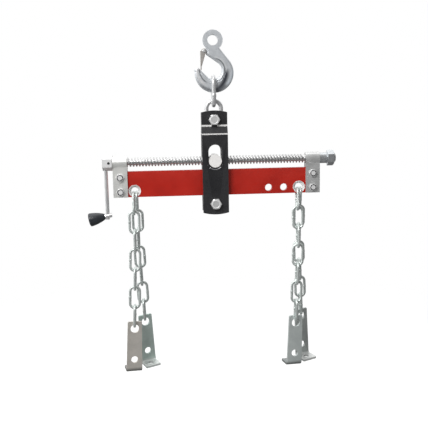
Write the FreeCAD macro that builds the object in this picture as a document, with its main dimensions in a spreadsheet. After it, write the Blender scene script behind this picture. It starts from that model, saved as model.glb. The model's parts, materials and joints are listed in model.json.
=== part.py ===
import FreeCAD, Part
import Sketcher
import math
import os

# Engine load leveler: a flat bar hung from a hanger that a crank screw walks along it.
# Frame: X runs along the bar, Y points to the rear, Z is up, and the origin is the centre
# of the hook eye that the whole assembly hangs from. Everything below hangs from what is above.

SIZES = {
    # Running and seating clearances
    "seat_gap": 0.3,
    "shaft_gap": 0.05,
    "pivot_gap": 0.1,
    "slot_gap": 0.5,
    "side_gap": 1.0,
    # Hook
    "eye_bore": 20.0,
    "eye_rim": 9.0,
    "eye_thick": 12.0,
    "hook_thick": 11.5,
    "hook_edge": 4.5,
    "hook_reach": 72.0,
    "bowl_radius": 16.3,
    "bowl_depth": 26.0,
    "bowl_side": 20.9,
    "bowl_shift": 2.0,
    "tip_length": 22.0,
    "tip_width": 10.0,
    "neck_width": 25.0,
    "neck_share": 0.195,
    "throat_share": 0.375,
    # Spring latch of the hook
    "latch_pivot_side": 17.0,
    "latch_pivot_drop": 20.0,
    "latch_lug_thick": 4.0,
    "latch_lug_radius": 4.6,
    "latch_pin_dia": 4.0,
    "latch_width": 14.0,
    "latch_sheet": 1.8,
    "spring_wire": 0.6,
    "spring_turns": 2,
    # Two heavy links between hook and hanger
    "heavy_wire": 8.0,
    "heavy_width": 36.0,
    "upper_link_length": 62.0,
    "lower_link_length": 54.0,
    # Hanger plates and their bolts
    "plate_width": 50.0,
    "plate_thick": 5.0,
    "plate_crown": 3.5,
    "plate_top_margin": 17.7,
    "plate_bottom_margin": 21.0,
    "plate_gap_top": 12.0,
    "plate_gap_bottom": 30.0,
    "joggle_drop": 12.3,
    "joggle_height": 16.0,
    "joggle_round": 5.0,
    "bolt_to_screw": 78.5,
    "slot_rise": 18.6,
    "lip_offset": 2.2,
    "lip_width": 2.4,
    "lip_height": 1.0,
    "bolt_dia": 12.0,
    "bolt_flats": 19.0,
    "bolt_head": 7.5,
    "bolt_nut": 10.0,
    "bolt_tail": 3.0,
    # Roller under the bar
    "roller_dia": 30.0,
    "roller_lip": 1.1,
    "bush_dia": 18.0,
    # Bar
    "bar_length": 404.0,
    "bar_height": 50.0,
    "bar_thick": 10.0,
    "bar_shift": 4.0,
    "chain_hole_inset": 41.0,
    "hole_pitch": 30.0,
    "hole_dia": 14.0,
    "hole_rise": 12.0,
    "flare_dia": 23.0,
    # End straps and their bolts
    "strap_width": 28.0,
    "strap_thick": 3.5,
    "strap_bolt_margin": 11.0,
    "strap_bolt_dia": 8.0,
    "strap_bolt_flats": 13.0,
    "strap_bolt_head": 5.3,
    "strap_nut": 6.5,
    # Screw, its end stops and the travelling nut
    "screw_rise": 17.5,
    "screw_dia": 17.0,
    "screw_core": 10.8,
    "screw_pitch": 6.0,
    "thread_relief": 1.5,
    "journal_dia": 17.0,
    "sleeve_dia": 21.0,
    "sleeve_length": 15.0,
    "end_nut_flats": 27.0,
    "end_nut_height": 13.0,
    "screw_stub": 3.0,
    "trunnion_dia": 24.5,
    "trunnion_proud": 0.5,
    # Crank
    "hub_flats": 27.0,
    "hub_length": 18.5,
    "set_screw_dia": 5.0,
    "set_screw_key": 2.5,
    "arm_dia": 7.5,
    "arm_inset": 5.1,
    "arm_sink": 6.0,
    "arm_eye_dia": 9.0,
    "arm_eye_width": 10.5,
    "arm_end": 7.0,
    "crank_radius": 103.5,
    "knob_lean": 12.0,
    "knob_length": 31.0,
    "knob_dia": 26.0,
    "knob_neck": 11.0,
    "knob_edge": 2.5,
    "knob_pin_dia": 5.0,
    "knob_pin_head": 9.0,
    "knob_pin_cap": 3.0,
    # Chains
    "link_count": 7,
    "chain_wire": 5.2,
    "chain_width": 24.0,
    "chain_length": 48.0,
    "first_splay": 13.0,
    "first_shift": 0.8,
    "upper_splay": 4.8,
    "lower_splay": 2.6,
    "strand_lean": 2.4,
    # Brackets at the chain ends
    "front_bracket_turn": 12.0,
    "rear_bracket_turn": 23.0,
    "bracket_top_width": 28.0,
    "bracket_foot_width": 31.0,
    "bracket_height": 103.0,
    "bracket_thick": 4.5,
    "bracket_foot": 32.0,
    "bracket_bend": 3.0,
    "bracket_corner": 2.0,
    "eyelet_dia": 17.0,
    "eyelet_drop": 14.5,
    "eyelet_gap": 1.3,
    "bracket_bolt_hole": 13.5,
    "bracket_bolt_rise": 25.5,
    "foot_hole": 11.0,
    "foot_hole_inset": 15.0,
}

X_AXIS = FreeCAD.Vector(1, 0, 0)
Y_AXIS = FreeCAD.Vector(0, 1, 0)
Z_AXIS = FreeCAD.Vector(0, 0, 1)
UPRIGHT = FreeCAD.Rotation()
TO_FRONT = FreeCAD.Rotation(X_AXIS, 90)
TO_REAR = FreeCAD.Rotation(X_AXIS, -90)
TO_RIGHT = FreeCAD.Rotation(Y_AXIS, 90)
# Along +X, with the first corner of a prism pointing up
TO_RIGHT_CORNER_UP = FreeCAD.Rotation(Z_AXIS, -Y_AXIS, X_AXIS, "ZXY")
HEX_CORNER = 1.0 / math.cos(math.radians(30))
HEAD_CHAMFER_SLOPE = math.tan(math.radians(60))
HEAD_FACE_SHARE = 0.475

doc = FreeCAD.newDocument("EngineLoadLeveler")
sheet = doc.addObject("Spreadsheet::Sheet", "Dims")
nodes = []


class Sheet:
    """The driving dimensions as numbers, read back from the sheet."""


def fill_sheet():
    """Write each size to a cell of its own and give the cell its name."""
    for row, (alias, number) in enumerate(SIZES.items(), start=1):
        sheet.set(f"A{row}", alias)
        sheet.set(f"B{row}", str(number))
        sheet.setAlias(f"B{row}", alias)
    doc.recompute()
    for alias in SIZES:
        setattr(Sheet, alias, float(sheet.get(alias)))


fill_sheet()
D = Sheet


def vec(x=0.0, y=0.0, z=0.0):
    """A point or direction."""
    return FreeCAD.Vector(x, y, z)


def place(x=0.0, y=0.0, z=0.0, turn=UPRIGHT):
    """A placement at a point with a rotation."""
    return FreeCAD.Placement(vec(x, y, z), turn)


def bound(kind, name, where, **expressions):
    """A primitive whose sizes are bound to the sheet."""
    piece = doc.addObject(kind, name)
    for prop, expression in expressions.items():
        piece.setExpression(prop, expression)
    piece.Placement = where
    return piece


def cylinder(name, where, radius, height):
    """A cylinder along the local Z axis."""
    return bound("Part::Cylinder", name, where, Radius=radius, Height=height)


def block(name, centre, length, width, height):
    """A box about its centre; the three sizes are expressions on the sheet."""
    piece = bound("Part::Box", name, place(), Length=length, Width=width, Height=height)
    doc.recompute()
    half = vec(piece.Length.Value / 2, piece.Width.Value / 2, piece.Height.Value / 2)
    piece.Placement = FreeCAD.Placement(centre - half, UPRIGHT)
    return piece


def fuse(name, *pieces):
    """One solid from several."""
    joined = doc.addObject("Part::MultiFuse", name)
    joined.Shapes = list(pieces)
    return joined


def cut(name, base, tool):
    """The base less the tool."""
    result = doc.addObject("Part::Cut", name)
    result.Base = base
    result.Tool = tool
    return result


def group(name, *pieces):
    """Separate solids that share one node."""
    together = doc.addObject("Part::Compound", name)
    together.Links = list(pieces)
    return together


def node(piece, label):
    """Register a finished sub-part under its node name."""
    piece.Label = label
    nodes.append(piece)
    return piece


def new_body(name):
    """An empty body."""
    return doc.addObject("PartDesign::Body", name)


def sketch_on(body, name, role, offset=0.0):
    """A sketch on one of the body's own origin planes, moved along its normal."""
    sketch = body.newObject("Sketcher::SketchObject", name)
    plane = next(f for f in body.Origin.OriginFeatures if f.Role == role)
    sketch.AttachmentSupport = [(plane, "")]
    sketch.MapMode = "FlatFace"
    sketch.AttachmentOffset = place(z=offset)
    return sketch


def outline(sketch, start, *legs):
    """A closed outline: a leg is an end point, or a middle and an end point for an arc."""
    at = vec(*start)
    for leg in legs + (start,):
        arc = isinstance(leg[0], tuple)
        end = vec(*(leg[1] if arc else leg))
        if arc:
            sketch.addGeometry(Part.Arc(at, vec(*leg[0]), end))
        elif end.distanceToPoint(at) > 1e-6:
            sketch.addGeometry(Part.LineSegment(at, end))
        at = end


def circle(sketch, x, y, radius):
    """A circle whose radius is bound to the sheet."""
    number = sheet.evalExpression(radius)
    index = sketch.addGeometry(Part.Circle(vec(x, y), Z_AXIS, number))
    constraint = sketch.addConstraint(Sketcher.Constraint("Radius", index, number))
    sketch.setExpression(f"Constraints[{constraint}]", radius)


def pad(body, sketch, length, symmetric=False):
    """A pad of a bound length."""
    feature = body.newObject("PartDesign::Pad", sketch.Name + "Pad")
    feature.Profile = sketch
    feature.SideType = "Symmetric" if symmetric else "One side"
    feature.setExpression("Length", length)
    return feature


def pocket(body, sketch):
    """A cut right through, both ways from the sketch; it has to take material away."""
    doc.recompute()
    before = body.Shape.Volume
    feature = body.newObject("PartDesign::Pocket", sketch.Name + "Pocket")
    feature.Profile = sketch
    feature.SideType = "Symmetric"
    feature.Type = "ThroughAll"
    doc.recompute()
    if body.Shape.Volume >= before:
        raise ValueError(f"{feature.Name} cuts nothing")
    return feature


def revolve(body, sketch, axis):
    """A full turn of the sketch about one of its axes."""
    feature = body.newObject("PartDesign::Revolution", sketch.Name + "Turn")
    feature.Profile = sketch
    feature.ReferenceAxis = (sketch, [axis])
    feature.Angle = 360
    return feature


def wind(body, sketch, axis, pitch, height):
    """A helical sweep of the sketch about one of its axes."""
    feature = body.newObject("PartDesign::AdditiveHelix", sketch.Name + "Winding")
    feature.Profile = sketch
    feature.ReferenceAxis = (sketch, [axis])
    feature.Mode = "pitch-height-angle"
    feature.Pitch = pitch
    feature.Height = height
    return feature


def fillet(body, name, radius, wanted):
    """A fillet on the edges that the test picks out."""
    doc.recompute()
    base = body.Tip
    edges = [f"Edge{i}" for i, edge in enumerate(base.Shape.Edges, start=1) if wanted(edge)]
    feature = body.newObject("PartDesign::Fillet", name)
    feature.Base = (base, edges)
    feature.setExpression("Radius", radius)
    doc.recompute()
    return feature


def runs_along(edge, axis):
    """Whether an edge is a straight line along an axis."""
    if not isinstance(edge.Curve, Part.Line):
        return False
    return edge.tangentAt(edge.FirstParameter).cross(axis).Length < 1e-6


def on_circle(centre, radius, angle):
    """A point of a circle in a sketch, the angle in degrees."""
    turn = math.radians(angle)
    return (centre[0] + radius * math.cos(turn), centre[1] + radius * math.sin(turn))


def tangent_angle(centre, radius, point):
    """The angle on a circle, on its right side, where a line from a point touches it."""
    dx, dz = point[0] - centre[0], point[1] - centre[1]
    spread = math.acos(radius / math.hypot(dx, dz))
    return math.degrees(math.atan2(dz, dx) - spread)


# Heights and places that follow from the sizes, from the hook eye down

SADDLE_Z = -D.hook_reach
NECK_Z = SADDLE_Z * D.neck_share
THROAT_Z = SADDLE_Z * D.throat_share
UPPER_TOP_Z = SADDLE_Z + D.seat_gap + D.heavy_wire
UPPER_Z = UPPER_TOP_Z - D.upper_link_length / 2
UPPER_BEND_Z = UPPER_TOP_Z - D.upper_link_length + D.heavy_wire / 2
LOWER_TOP_Z = UPPER_BEND_Z + D.heavy_wire + D.seat_gap + D.heavy_wire / 2
LOWER_Z = LOWER_TOP_Z - D.lower_link_length / 2
BOLT_Z = LOWER_TOP_Z - D.lower_link_length + D.heavy_wire + D.seat_gap + D.bolt_dia / 2
SCREW_Z = BOLT_Z - D.bolt_to_screw
BAR_TOP_Z = SCREW_Z - D.screw_rise
BAR_BOTTOM_Z = BAR_TOP_Z - D.bar_height
ROLLER_Z = BAR_BOTTOM_Z - D.seat_gap - D.roller_dia / 2
BAR_END = D.bar_length / 2
CHAIN_HOLE_X = BAR_END - D.chain_hole_inset
HUB_INNER = -BAR_END - D.seat_gap
HUB_OUTER = HUB_INNER - D.hub_length
ARM_X = HUB_OUTER + D.arm_inset
KNOB_Z = SCREW_Z - D.crank_radius
PLATE_TOP_Z = BOLT_Z + D.plate_top_margin
PLATE_BOTTOM_Z = ROLLER_Z - D.plate_bottom_margin
BOLTS_OUTER = {
    BOLT_Z: D.plate_gap_top / 2 + D.plate_thick,
    ROLLER_Z: D.plate_gap_bottom / 2 + D.plate_thick,
}


# Hook with eye and latch

def make_hook():
    """Forged hook: a rounded bowl under an eye, with a lug for the latch."""
    inner = (0.0, SADDLE_Z + D.bowl_radius)
    outer_bottom = SADDLE_Z - D.bowl_depth
    outer_radius = D.bowl_radius + D.bowl_side
    outer = (D.bowl_shift, outer_bottom + outer_radius)
    neck_right = (D.neck_width / 2, NECK_Z)
    neck_left = (-D.neck_width / 2, NECK_Z)
    throat = (-D.neck_width / 2, THROAT_Z)
    slope = math.sqrt(0.5)
    tip_root = on_circle(inner, D.bowl_radius, 225)
    tip_inner = (tip_root[0] - slope * D.tip_length, tip_root[1] + slope * D.tip_length)
    tip_end = (tip_inner[0] - slope * D.tip_width, tip_inner[1])
    tip_turn = math.degrees(math.atan2(tip_inner[1] - slope * D.tip_width - outer[1],
                                       tip_inner[0] - slope * D.tip_width - outer[0]))
    right_turn = tangent_angle(outer, outer_radius, neck_right)
    throat_turn = tangent_angle(inner, D.bowl_radius, throat)

    body = new_body("Hook")
    sketch = sketch_on(body, "HookOutline", "XZ_Plane")
    outline(
        sketch, neck_left, throat,
        on_circle(inner, D.bowl_radius, throat_turn),
        (on_circle(inner, D.bowl_radius, -60), tip_root),
        tip_inner,
        (tip_end, on_circle(outer, outer_radius, tip_turn)),
        (on_circle(outer, outer_radius, 270), on_circle(outer, outer_radius, right_turn)),
        neck_right,
    )
    pad(body, sketch, "Dims.hook_thick", symmetric=True)

    def rim(edge):
        box = edge.BoundBox
        flat = box.YLength < 1e-6 and abs(abs(box.YMin) - D.hook_thick / 2) < 1e-6
        return flat and box.ZMin < NECK_Z - 1e-3

    fillet(body, "HookEdges", "Dims.hook_edge", rim)
    eye = sketch_on(body, "HookEye", "XZ_Plane")
    circle(eye, 0, 0, "Dims.eye_bore / 2 + Dims.eye_rim")
    pad(body, eye, "Dims.eye_thick", symmetric=True)
    lug = sketch_on(body, "HookLug", "XZ_Plane")
    pivot_x, pivot_z = -D.latch_pivot_side, -D.latch_pivot_drop
    outline(
        lug, (pivot_x, pivot_z - D.latch_lug_radius), (0.0, pivot_z - D.latch_lug_radius),
        (0.0, pivot_z + D.latch_lug_radius), (pivot_x, pivot_z + D.latch_lug_radius),
        ((pivot_x - D.latch_lug_radius, pivot_z), (pivot_x, pivot_z - D.latch_lug_radius)),
    )
    pad(body, lug, "Dims.latch_lug_thick", symmetric=True)
    bores = sketch_on(body, "HookBores", "XZ_Plane")
    circle(bores, 0, 0, "Dims.eye_bore / 2")
    circle(bores, pivot_x, pivot_z, "Dims.latch_pin_dia / 2")
    pocket(body, bores)
    return node(body, "hook")


def make_latch():
    """Folded sheet latch: two ears on the pin and a tongue that closes against the tip."""
    pivot = vec(-D.latch_pivot_side, 0, -D.latch_pivot_drop)
    bowl_z = SADDLE_Z + D.bowl_radius
    face_sum = bowl_z - math.sqrt(2) * (D.bowl_radius - D.seat_gap)
    tongue_back = -D.latch_pivot_side - D.latch_lug_radius - D.seat_gap
    tongue_foot = face_sum - tongue_back + D.latch_sheet
    ear_radius = D.latch_lug_radius
    body = new_body("Latch")
    tongue = sketch_on(body, "LatchTongue", "XZ_Plane")
    left = tongue_back - D.latch_sheet
    outline(
        tongue, (left, pivot.z), (tongue_back, pivot.z),
        (tongue_back, tongue_foot),
        (left, face_sum - left),
    )
    pad(body, tongue, "Dims.latch_width", symmetric=True)
    ears = sketch_on(body, "LatchEars", "XZ_Plane")
    outline(
        ears, (left, pivot.z), (left, tongue_foot + ear_radius), (tongue_back, tongue_foot + ear_radius),
        (pivot.x + ear_radius, pivot.z),
        ((pivot.x, pivot.z + ear_radius), (pivot.x - ear_radius, pivot.z)),
    )
    pad(body, ears, "Dims.latch_width", symmetric=True)
    hollow = sketch_on(body, "LatchHollow", "XY_Plane")
    inside = D.latch_width / 2 - D.latch_sheet
    outline(
        hollow, (tongue_back, -inside), (pivot.x + 2 * ear_radius, -inside),
        (pivot.x + 2 * ear_radius, inside), (tongue_back, inside),
    )
    pocket(body, hollow)
    bore = sketch_on(body, "LatchBore", "XZ_Plane")
    circle(bore, pivot.x, pivot.z, "Dims.latch_pin_dia / 2 + Dims.pivot_gap")
    pocket(body, bore)
    node(body, "hook_latch")

    half_pin = D.latch_width / 2 + D.latch_sheet
    pin = cylinder("LatchPin", place(pivot.x, half_pin, pivot.z, TO_FRONT),
                   "Dims.latch_pin_dia / 2", "Dims.latch_width + 2 * Dims.latch_sheet")
    node(pin, "latch_pin")

    spring_radius = D.latch_pin_dia / 2 + D.seat_gap + D.spring_wire / 2
    start = D.latch_lug_thick / 2 + D.seat_gap + D.spring_wire / 2
    room = D.latch_width / 2 - D.latch_sheet - D.seat_gap - D.spring_wire / 2 - start
    spring = new_body("LatchSpring")
    wire = sketch_on(spring, "SpringWire", "XZ_Plane")
    circle(wire, spring_radius, 0, "Dims.spring_wire / 2")
    wind(spring, wire, "V_Axis", room / D.spring_turns, room)
    spring.Placement = place(pivot.x, start, pivot.z, TO_REAR)
    node(spring, "latch_spring")


# Links

def link_master(name, wire, width, length):
    """One link standing on end in the XZ plane about its middle; sizes are expressions."""
    bend = f"({width} - {wire}) / 2"
    straight = f"{length} - {width}"
    half = sheet.evalExpression(straight) / 2
    side = sheet.evalExpression(bend)
    pieces = []
    for end, tilt in (("Top", 90), ("Bottom", -90)):
        turn = FreeCAD.Rotation(X_AXIS, tilt)
        z = half if end == "Top" else -half
        arc = bound("Part::Torus", name + end, place(z=z, turn=turn), Radius1=bend, Radius2=f"{wire} / 2")
        arc.Angle3 = 180
        pieces.append(arc)
    for hand, x in (("Left", -side), ("Right", side)):
        pieces.append(cylinder(name + hand, place(x=x, z=-half), f"{wire} / 2", straight))
    return fuse(name, *pieces)


def placed_link(master, label, where):
    """A copy of a link in its place."""
    doc.recompute()
    copy = doc.addObject("Part::Feature", label)
    copy.Shape = master.Shape.copy()
    copy.Placement = where
    return node(copy, label)


def make_heavy_links():
    """Upper link on the hook, edge to the front, and lower link on the hanger bolt, face to the front."""
    upper = link_master("UpperLink", "Dims.heavy_wire", "Dims.heavy_width", "Dims.upper_link_length")
    lower = link_master("LowerLink", "Dims.heavy_wire", "Dims.heavy_width", "Dims.lower_link_length")
    placed_link(upper, "upper_link", place(z=UPPER_Z, turn=FreeCAD.Rotation(Z_AXIS, 90)))
    placed_link(lower, "lower_link", place(z=LOWER_Z))


# Hanger

def make_hanger_plate(label, yaw):
    """Joggled side plate with crowned ends, bolt holes and the slot for the travelling nut."""
    near_top = -D.plate_gap_top / 2
    near_low = -D.plate_gap_bottom / 2
    bend_top = BOLT_Z - D.joggle_drop
    bend_low = bend_top - D.joggle_height
    lean = math.atan2(near_top - near_low, D.joggle_height)
    miter = D.plate_thick * math.tan(lean / 2)
    body = new_body(label)
    profile = sketch_on(body, label + "Profile", "YZ_Plane")
    outline(
        profile, (near_top, PLATE_TOP_Z), (near_top, bend_top), (near_low, bend_low),
        (near_low, PLATE_BOTTOM_Z), (near_low - D.plate_thick, PLATE_BOTTOM_Z),
        (near_low - D.plate_thick, bend_low + miter), (near_top - D.plate_thick, bend_top + miter),
        (near_top - D.plate_thick, PLATE_TOP_Z),
    )
    pad(body, profile, "Dims.plate_width", symmetric=True)

    def bend(edge):
        middle = edge.BoundBox.Center.z
        between = bend_low - D.plate_thick < middle < bend_top + D.plate_thick
        return between and runs_along(edge, X_AXIS)

    fillet(body, label + "Bends", "Dims.joggle_round", bend)
    half = D.plate_width / 2
    ends = sketch_on(body, label + "Ends", "XZ_Plane")
    for end_z, sign in ((PLATE_TOP_Z, 1), (PLATE_BOTTOM_Z, -1)):
        shoulder = end_z - sign * D.plate_crown
        clear = end_z + sign * D.plate_crown
        outline(ends, (-half, shoulder), ((0.0, end_z), (half, shoulder)), (half, clear), (-half, clear))
    pocket(body, ends)
    holes = sketch_on(body, label + "Holes", "XZ_Plane")
    circle(holes, 0, BOLT_Z, "Dims.bolt_dia / 2 + Dims.pivot_gap")
    circle(holes, 0, ROLLER_Z, "Dims.bolt_dia / 2 + Dims.pivot_gap")
    reach = D.trunnion_dia / 2 + D.slot_gap
    high = SCREW_Z + D.slot_rise
    outline(
        holes, (-reach, high), (-reach, SCREW_Z), ((0.0, SCREW_Z - reach), (reach, SCREW_Z)),
        (reach, high), ((0.0, high + reach), (-reach, high)),
    )
    pocket(body, holes)
    near = reach + D.lip_offset
    far = near + D.lip_width
    lip = sketch_on(body, label + "Lip", "XZ_Plane", D.plate_gap_bottom / 2 + D.plate_thick)
    low_left, low_right, low = 205, 335, 270
    middle = (0.0, SCREW_Z)
    outline(
        lip, on_circle(middle, near, low_left),
        (on_circle(middle, near, low), on_circle(middle, near, low_right)),
        on_circle(middle, far, low_right),
        (on_circle(middle, far, low), on_circle(middle, far, low_left)),
    )
    pad(body, lip, "Dims.lip_height")
    body.Placement = place(turn=FreeCAD.Rotation(Z_AXIS, yaw))
    return node(body, label)


def hex_prism(name, where, flats, height, chamfered=True):
    """A hexagonal head or nut along local Z, its far corners bevelled."""
    prism = bound("Part::Prism", name, where, Circumradius=f"{flats} / 2 * {HEX_CORNER}", Height=height)
    prism.Polygon = 6
    if not chamfered:
        return prism
    cone = bound("Part::Cone", name + "Bevel", where, Height=height,
                 Radius1=f"{flats} * {HEAD_FACE_SHARE} + {height} * {HEAD_CHAMFER_SLOPE}",
                 Radius2=f"{flats} * {HEAD_FACE_SHARE}")
    bevelled = doc.addObject("Part::Common", name + "Head")
    bevelled.Base = prism
    bevelled.Tool = cone
    return bevelled


def hex_bolt(name, x, z, seat, dia, flats, head, length):
    """A bolt along Y with its head on a front face at -seat; seat is a number, the rest expressions."""
    top = hex_prism(name, place(x, -seat, z, TO_FRONT), flats, head)
    shank = cylinder(name + "Shank", place(x, -seat, z, TO_REAR), f"{dia} / 2", length)
    return fuse(name + "Bolt", top, shank)


def hex_nut(name, x, z, seat, dia, flats, height):
    """A nut along Y against a rear face at seat."""
    body = hex_prism(name, place(x, seat, z, TO_REAR), flats, height)
    bore = cylinder(name + "Bore", place(x, seat, z, TO_REAR), f"{dia} / 2 + Dims.shaft_gap", height)
    return cut(name + "Nut", body, bore)


def make_hanger():
    """Two plates, the two bolts through them and their nuts."""
    make_hanger_plate("hanger_plate_front", 0)
    make_hanger_plate("hanger_plate_rear", 180)
    bolts, nuts = [], []
    spans = (("Top", "Dims.plate_gap_top"), ("Low", "Dims.plate_gap_bottom"))
    for (name, gap), (z, seat) in zip(spans, BOLTS_OUTER.items()):
        length = f"{gap} + 2 * Dims.plate_thick + Dims.bolt_nut + Dims.bolt_tail"
        bolts.append(hex_bolt("Hanger" + name, 0, z, seat, "Dims.bolt_dia", "Dims.bolt_flats",
                              "Dims.bolt_head", length))
        nuts.append(hex_nut("HangerRear" + name, 0, z, seat, "Dims.bolt_dia", "Dims.bolt_flats",
                            "Dims.bolt_nut"))
    node(group("HangerBolts", *bolts), "hanger_bolts")
    node(group("HangerNuts", *nuts), "hanger_nuts")


def make_roller():
    """Lipped roller under the bar, and the bush that it turns on."""
    width = "(Dims.plate_gap_bottom - 2 * Dims.side_gap)"
    half = D.plate_gap_bottom / 2 - D.side_gap
    groove = D.bar_thick / 2 + D.slot_gap
    barrel = cylinder("RollerBarrel", place(y=-half, z=ROLLER_Z, turn=TO_REAR), "Dims.roller_dia / 2", width)
    lip_width = f"{width} / 2 - Dims.bar_thick / 2 - Dims.slot_gap"
    lips = [cylinder(f"RollerLip{i}", place(y=y, z=ROLLER_Z, turn=TO_REAR),
                     "Dims.roller_dia / 2 + Dims.roller_lip", lip_width)
            for i, y in enumerate((-half, groove))]
    bore = cylinder("RollerBore", place(y=-half, z=ROLLER_Z, turn=TO_REAR),
                    "Dims.bush_dia / 2 + Dims.shaft_gap", width)
    node(cut("Roller", fuse("RollerBody", barrel, *lips), bore), "roller")

    bush_half = D.plate_gap_bottom / 2 - D.seat_gap
    length = "Dims.plate_gap_bottom - 2 * Dims.seat_gap"
    where = place(y=-bush_half, z=ROLLER_Z, turn=TO_REAR)
    tube = cylinder("BushTube", where, "Dims.bush_dia / 2", length)
    hole = cylinder("BushHole", where, "Dims.bolt_dia / 2 + Dims.pivot_gap", length)
    node(cut("Bush", tube, hole), "roller_bush")


def make_travelling_nut():
    """Cross barrel on the screw whose ends are the trunnions that stand in the hanger slots."""
    reach = D.plate_gap_bottom / 2 + D.plate_thick + D.trunnion_proud
    barrel = cylinder("NutBarrel", place(y=-reach, z=SCREW_Z, turn=TO_REAR), "Dims.trunnion_dia / 2",
                      "Dims.plate_gap_bottom + 2 * Dims.plate_thick + 2 * Dims.trunnion_proud")
    bore = cylinder("NutBore", place(x=-D.trunnion_dia / 2, z=SCREW_Z, turn=TO_RIGHT),
                    "Dims.screw_dia / 2 + Dims.seat_gap", "Dims.trunnion_dia")
    node(cut("TravellingNut", barrel, bore), "travelling_nut")


# Bar, straps and screw

def make_bar():
    """Flat bar with flared chain holes near both ends and two spare holes on the right."""
    middle = vec(D.bar_shift, 0, (BAR_TOP_Z + BAR_BOTTOM_Z) / 2)
    core = block("BarCore", middle, "Dims.bar_length", "Dims.bar_thick", "Dims.bar_height")
    hole_z = BAR_BOTTOM_Z + D.hole_rise
    rear = D.bar_thick / 2
    right = D.bar_shift + CHAIN_HOLE_X
    left = D.bar_shift - CHAIN_HOLE_X
    tools = []
    for i, x in enumerate((left, right, right - D.hole_pitch, right - 2 * D.hole_pitch)):
        tools.append(cylinder(f"BarHole{i}", place(x, -rear, hole_z, TO_REAR), "Dims.hole_dia / 2",
                              "Dims.bar_thick"))
    for i, x in enumerate((left, right)):
        for hand, y, turn in (("Front", -rear, TO_REAR), ("Rear", rear, TO_FRONT)):
            tools.append(bound("Part::Cone", f"BarFlare{hand}{i}", place(x, y, hole_z, turn),
                               Radius1="Dims.flare_dia / 2", Radius2="Dims.hole_dia / 2",
                               Height="(Dims.flare_dia - Dims.hole_dia) / 2"))
    bolt_holes = [cylinder(f"BarBolt{i}", place(x, -rear, z, TO_REAR),
                           "Dims.strap_bolt_dia / 2 + Dims.pivot_gap", "Dims.bar_thick")
                  for i, (x, z) in enumerate(strap_bolt_places())]
    node(cut("Bar", core, fuse("BarHoles", *tools, *bolt_holes)), "bar")


def strap_bolt_places():
    """The two bolts of each end strap, as x and z."""
    reach = BAR_END - D.strap_width / 2
    heights = (BAR_TOP_Z - D.strap_bolt_margin, BAR_BOTTOM_Z + D.strap_bolt_margin)
    return [(D.bar_shift + side * reach, z) for side in (-1, 1) for z in heights]


def make_strap(label, side):
    """Strap rolled round the screw journal, with its two legs bolted over the end of the bar."""
    leg_in = D.bar_thick / 2
    leg_out = leg_in + D.strap_thick
    bore = D.journal_dia / 2 + D.seat_gap
    barrel = bore + D.strap_thick
    neck_in = SCREW_Z - math.sqrt(bore ** 2 - leg_in ** 2)
    neck_out = SCREW_Z - math.sqrt(barrel ** 2 - leg_out ** 2)
    body = new_body(label)
    profile = sketch_on(body, label + "Profile", "YZ_Plane")
    outline(
        profile, (-leg_out, BAR_BOTTOM_Z), (-leg_out, neck_out),
        ((0.0, SCREW_Z + barrel), (leg_out, neck_out)), (leg_out, BAR_BOTTOM_Z),
        (leg_in, BAR_BOTTOM_Z), (leg_in, neck_in),
        ((0.0, SCREW_Z + bore), (-leg_in, neck_in)), (-leg_in, BAR_BOTTOM_Z),
    )
    pad(body, profile, "Dims.strap_width", symmetric=True)
    holes = sketch_on(body, label + "Holes", "XZ_Plane")
    for z in (BAR_TOP_Z - D.strap_bolt_margin, BAR_BOTTOM_Z + D.strap_bolt_margin):
        circle(holes, 0, z, "Dims.strap_bolt_dia / 2 + Dims.pivot_gap")
    pocket(body, holes)
    body.Placement = place(x=D.bar_shift + side * (BAR_END - D.strap_width / 2))
    return node(body, label)


def make_straps():
    """Both end straps with their bolts and nuts."""
    make_strap("end_strap_left", -1)
    make_strap("end_strap_right", 1)
    seat = D.bar_thick / 2 + D.strap_thick
    length = "Dims.bar_thick + 2 * Dims.strap_thick + Dims.strap_nut + Dims.bolt_tail / 2"
    bolts = [hex_bolt(f"Strap{i}", x, z, seat, "Dims.strap_bolt_dia", "Dims.strap_bolt_flats",
                      "Dims.strap_bolt_head", length)
             for i, (x, z) in enumerate(strap_bolt_places())]
    nuts = [hex_nut(f"StrapRear{i}", x, z, seat, "Dims.strap_bolt_dia", "Dims.strap_bolt_flats",
                    "Dims.strap_nut")
            for i, (x, z) in enumerate(strap_bolt_places())]
    node(group("StrapBolts", *bolts), "strap_bolts")
    node(group("StrapNuts", *nuts), "strap_nuts")


def make_screw():
    """Lead screw: a trapezoid thread between the straps and a plain journal at each end."""
    thread_end = BAR_END - D.strap_width - D.thread_relief
    left_end = ARM_X + D.arm_dia / 2 + D.side_gap
    right_end = BAR_END + D.seat_gap + D.sleeve_length + D.end_nut_height + D.screw_stub
    core, journal = D.screw_core / 2, D.journal_dia / 2
    body = new_body("Screw")
    profile = sketch_on(body, "ScrewProfile", "XZ_Plane")
    outline(
        profile, (left_end, 0.0), (right_end, 0.0), (right_end, journal), (thread_end, journal),
        (thread_end, core), (-thread_end, core), (-thread_end, journal), (left_end, journal),
    )
    revolve(body, profile, "H_Axis")
    tooth = sketch_on(body, "ScrewTooth", "XZ_Plane")
    root, crest = D.screw_pitch * 0.37, D.screw_pitch * 0.17
    sunk = (D.screw_dia - D.screw_core) / 20
    start = -thread_end + root
    outline(
        tooth, (start - root, core - sunk), (start - crest, D.screw_dia / 2),
        (start + crest, D.screw_dia / 2), (start + root, core - sunk),
    )
    wind(body, tooth, "H_Axis", D.screw_pitch, 2 * (thread_end - root))
    body.Placement = place(x=D.bar_shift, z=SCREW_Z)
    return node(body, "lead_screw")


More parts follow.
